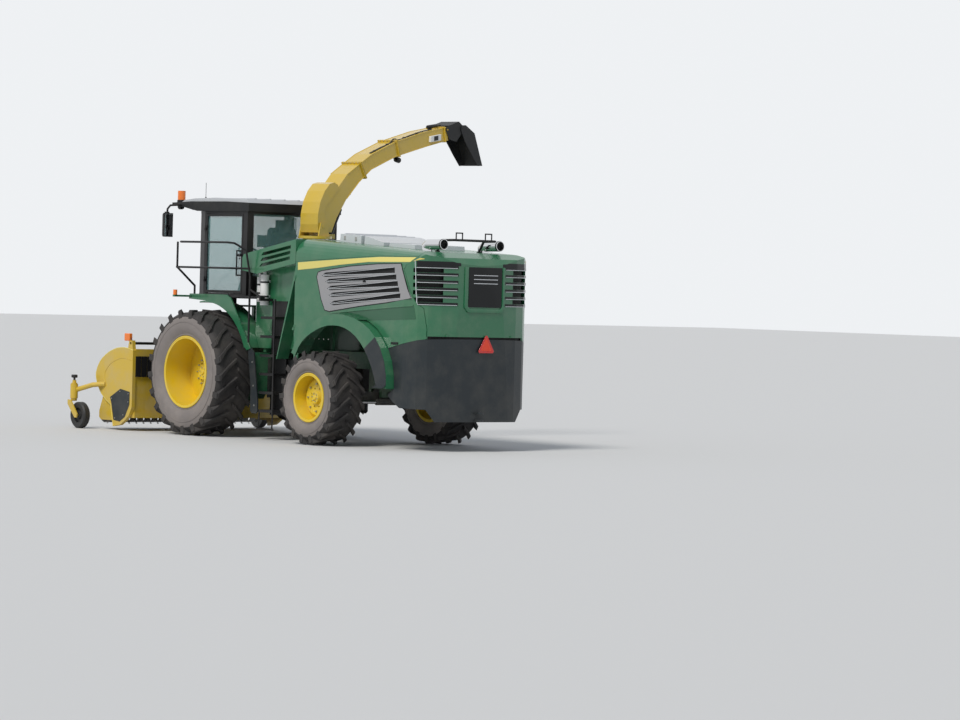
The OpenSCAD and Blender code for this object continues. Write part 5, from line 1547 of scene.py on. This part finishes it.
@dataclass
class Studio:
    """Floor, lights, backdrop and camera."""

    look_at: Point = (-2.64, 2.22, 1.28)
    azimuth: float = 140.0
    elevation: float = 1.1
    distance: float = 60.0
    roll: float = 1.6
    focal_px: float = 3800.0
    width_px: float = 960.0
    floor_half: float = 150.0
    floor_colour: Point = (0.66, 0.66, 0.65)

    def floor(self) -> None:
        """Lay a plain pale floor."""
        clear_selection()
        bpy.ops.mesh.primitive_plane_add(size=self.floor_half * 2)
        ground = bpy.context.object
        ground.name = "floor"
        mat = bpy.data.materials.new("floor")
        mat.use_nodes = True
        dial(mat.node_tree.nodes["Principled BSDF"],
             {"Base Color": (*self.floor_colour, 1.0), "Roughness": 0.9})
        ground.data.materials.append(mat)

    def backdrop(self) -> None:
        """Light the room softly and show a pale backdrop to the camera."""
        world = bpy.data.worlds.new("room")
        bpy.context.scene.world = world
        world.use_nodes = True
        nodes, links = world.node_tree.nodes, world.node_tree.links
        soft = dial(nodes["Background"], {"Color": (0.80, 0.87, 1.0, 1.0), "Strength": 0.45})
        pale = dial(nodes.new("ShaderNodeBackground"), {"Color": (0.86, 0.88, 0.90, 1.0), "Strength": 1.0})
        path = nodes.new("ShaderNodeLightPath")
        seen = path.outputs["Is Camera Ray"]
        for ray in ("Is Transmission Ray", "Is Glossy Ray"):
            either = nodes.new("ShaderNodeMath")
            either.operation = "ADD"
            either.use_clamp = True
            links.new(seen, either.inputs[0])
            links.new(path.outputs[ray], either.inputs[1])
            seen = either.outputs["Value"]
        mix = nodes.new("ShaderNodeMixShader")
        for place, source in enumerate((seen, soft.outputs["Background"], pale.outputs["Background"])):
            links.new(source, mix.inputs[place])
        links.new(mix.outputs["Shader"], nodes["World Output"].inputs["Surface"])

    def lights(self) -> None:
        """Hang one broad soft light high over the camera's side."""
        clear_selection()
        way = Vector((1.0, 0.35, 1.15))
        bpy.ops.object.light_add(type="SUN", location=at(8, 6, 12),
                                 rotation=way.to_track_quat("Z", "Y").to_euler())
        light = bpy.context.object
        light.name = "key"
        light.data.energy = 2.2
        light.data.angle = math.radians(18)
        light.data.color = (1.0, 0.97, 0.92)

    def camera(self) -> None:
        """Stand the camera where the photograph was taken."""
        az, el = math.radians(self.azimuth), math.radians(self.elevation)
        back = Vector((math.sin(az) * math.cos(el), -math.cos(az) * math.cos(el), math.sin(el)))
        clear_selection()
        bpy.ops.object.camera_add(location=at(*self.look_at) + back * self.distance)
        cam = bpy.context.object
        cam.name = "camera"
        turn = (-back).to_track_quat("-Z", "Y").to_matrix().to_4x4()
        cam.rotation_euler = (turn @ Matrix.Rotation(math.radians(self.roll), 4, "Z")).to_euler()
        cam.data.sensor_width = 36.0
        cam.data.lens = self.focal_px / self.width_px * 36.0
        cam.data.clip_end = 500.0
        bpy.context.scene.camera = cam

    def build(self) -> None:
        """Set up the whole studio."""
        bpy.context.scene.view_settings.view_transform = "Standard"
        self.camera()
        self.floor()
        self.backdrop()
        self.lights()
        log.info("studio ready")


def main() -> None:
    """Build the studio, dress the machine and add its pieces."""
    Studio().build()
    dress_nodes()
    for part in ASSEMBLIES:
        part.build()


if __name__ == "__main__":
    main()
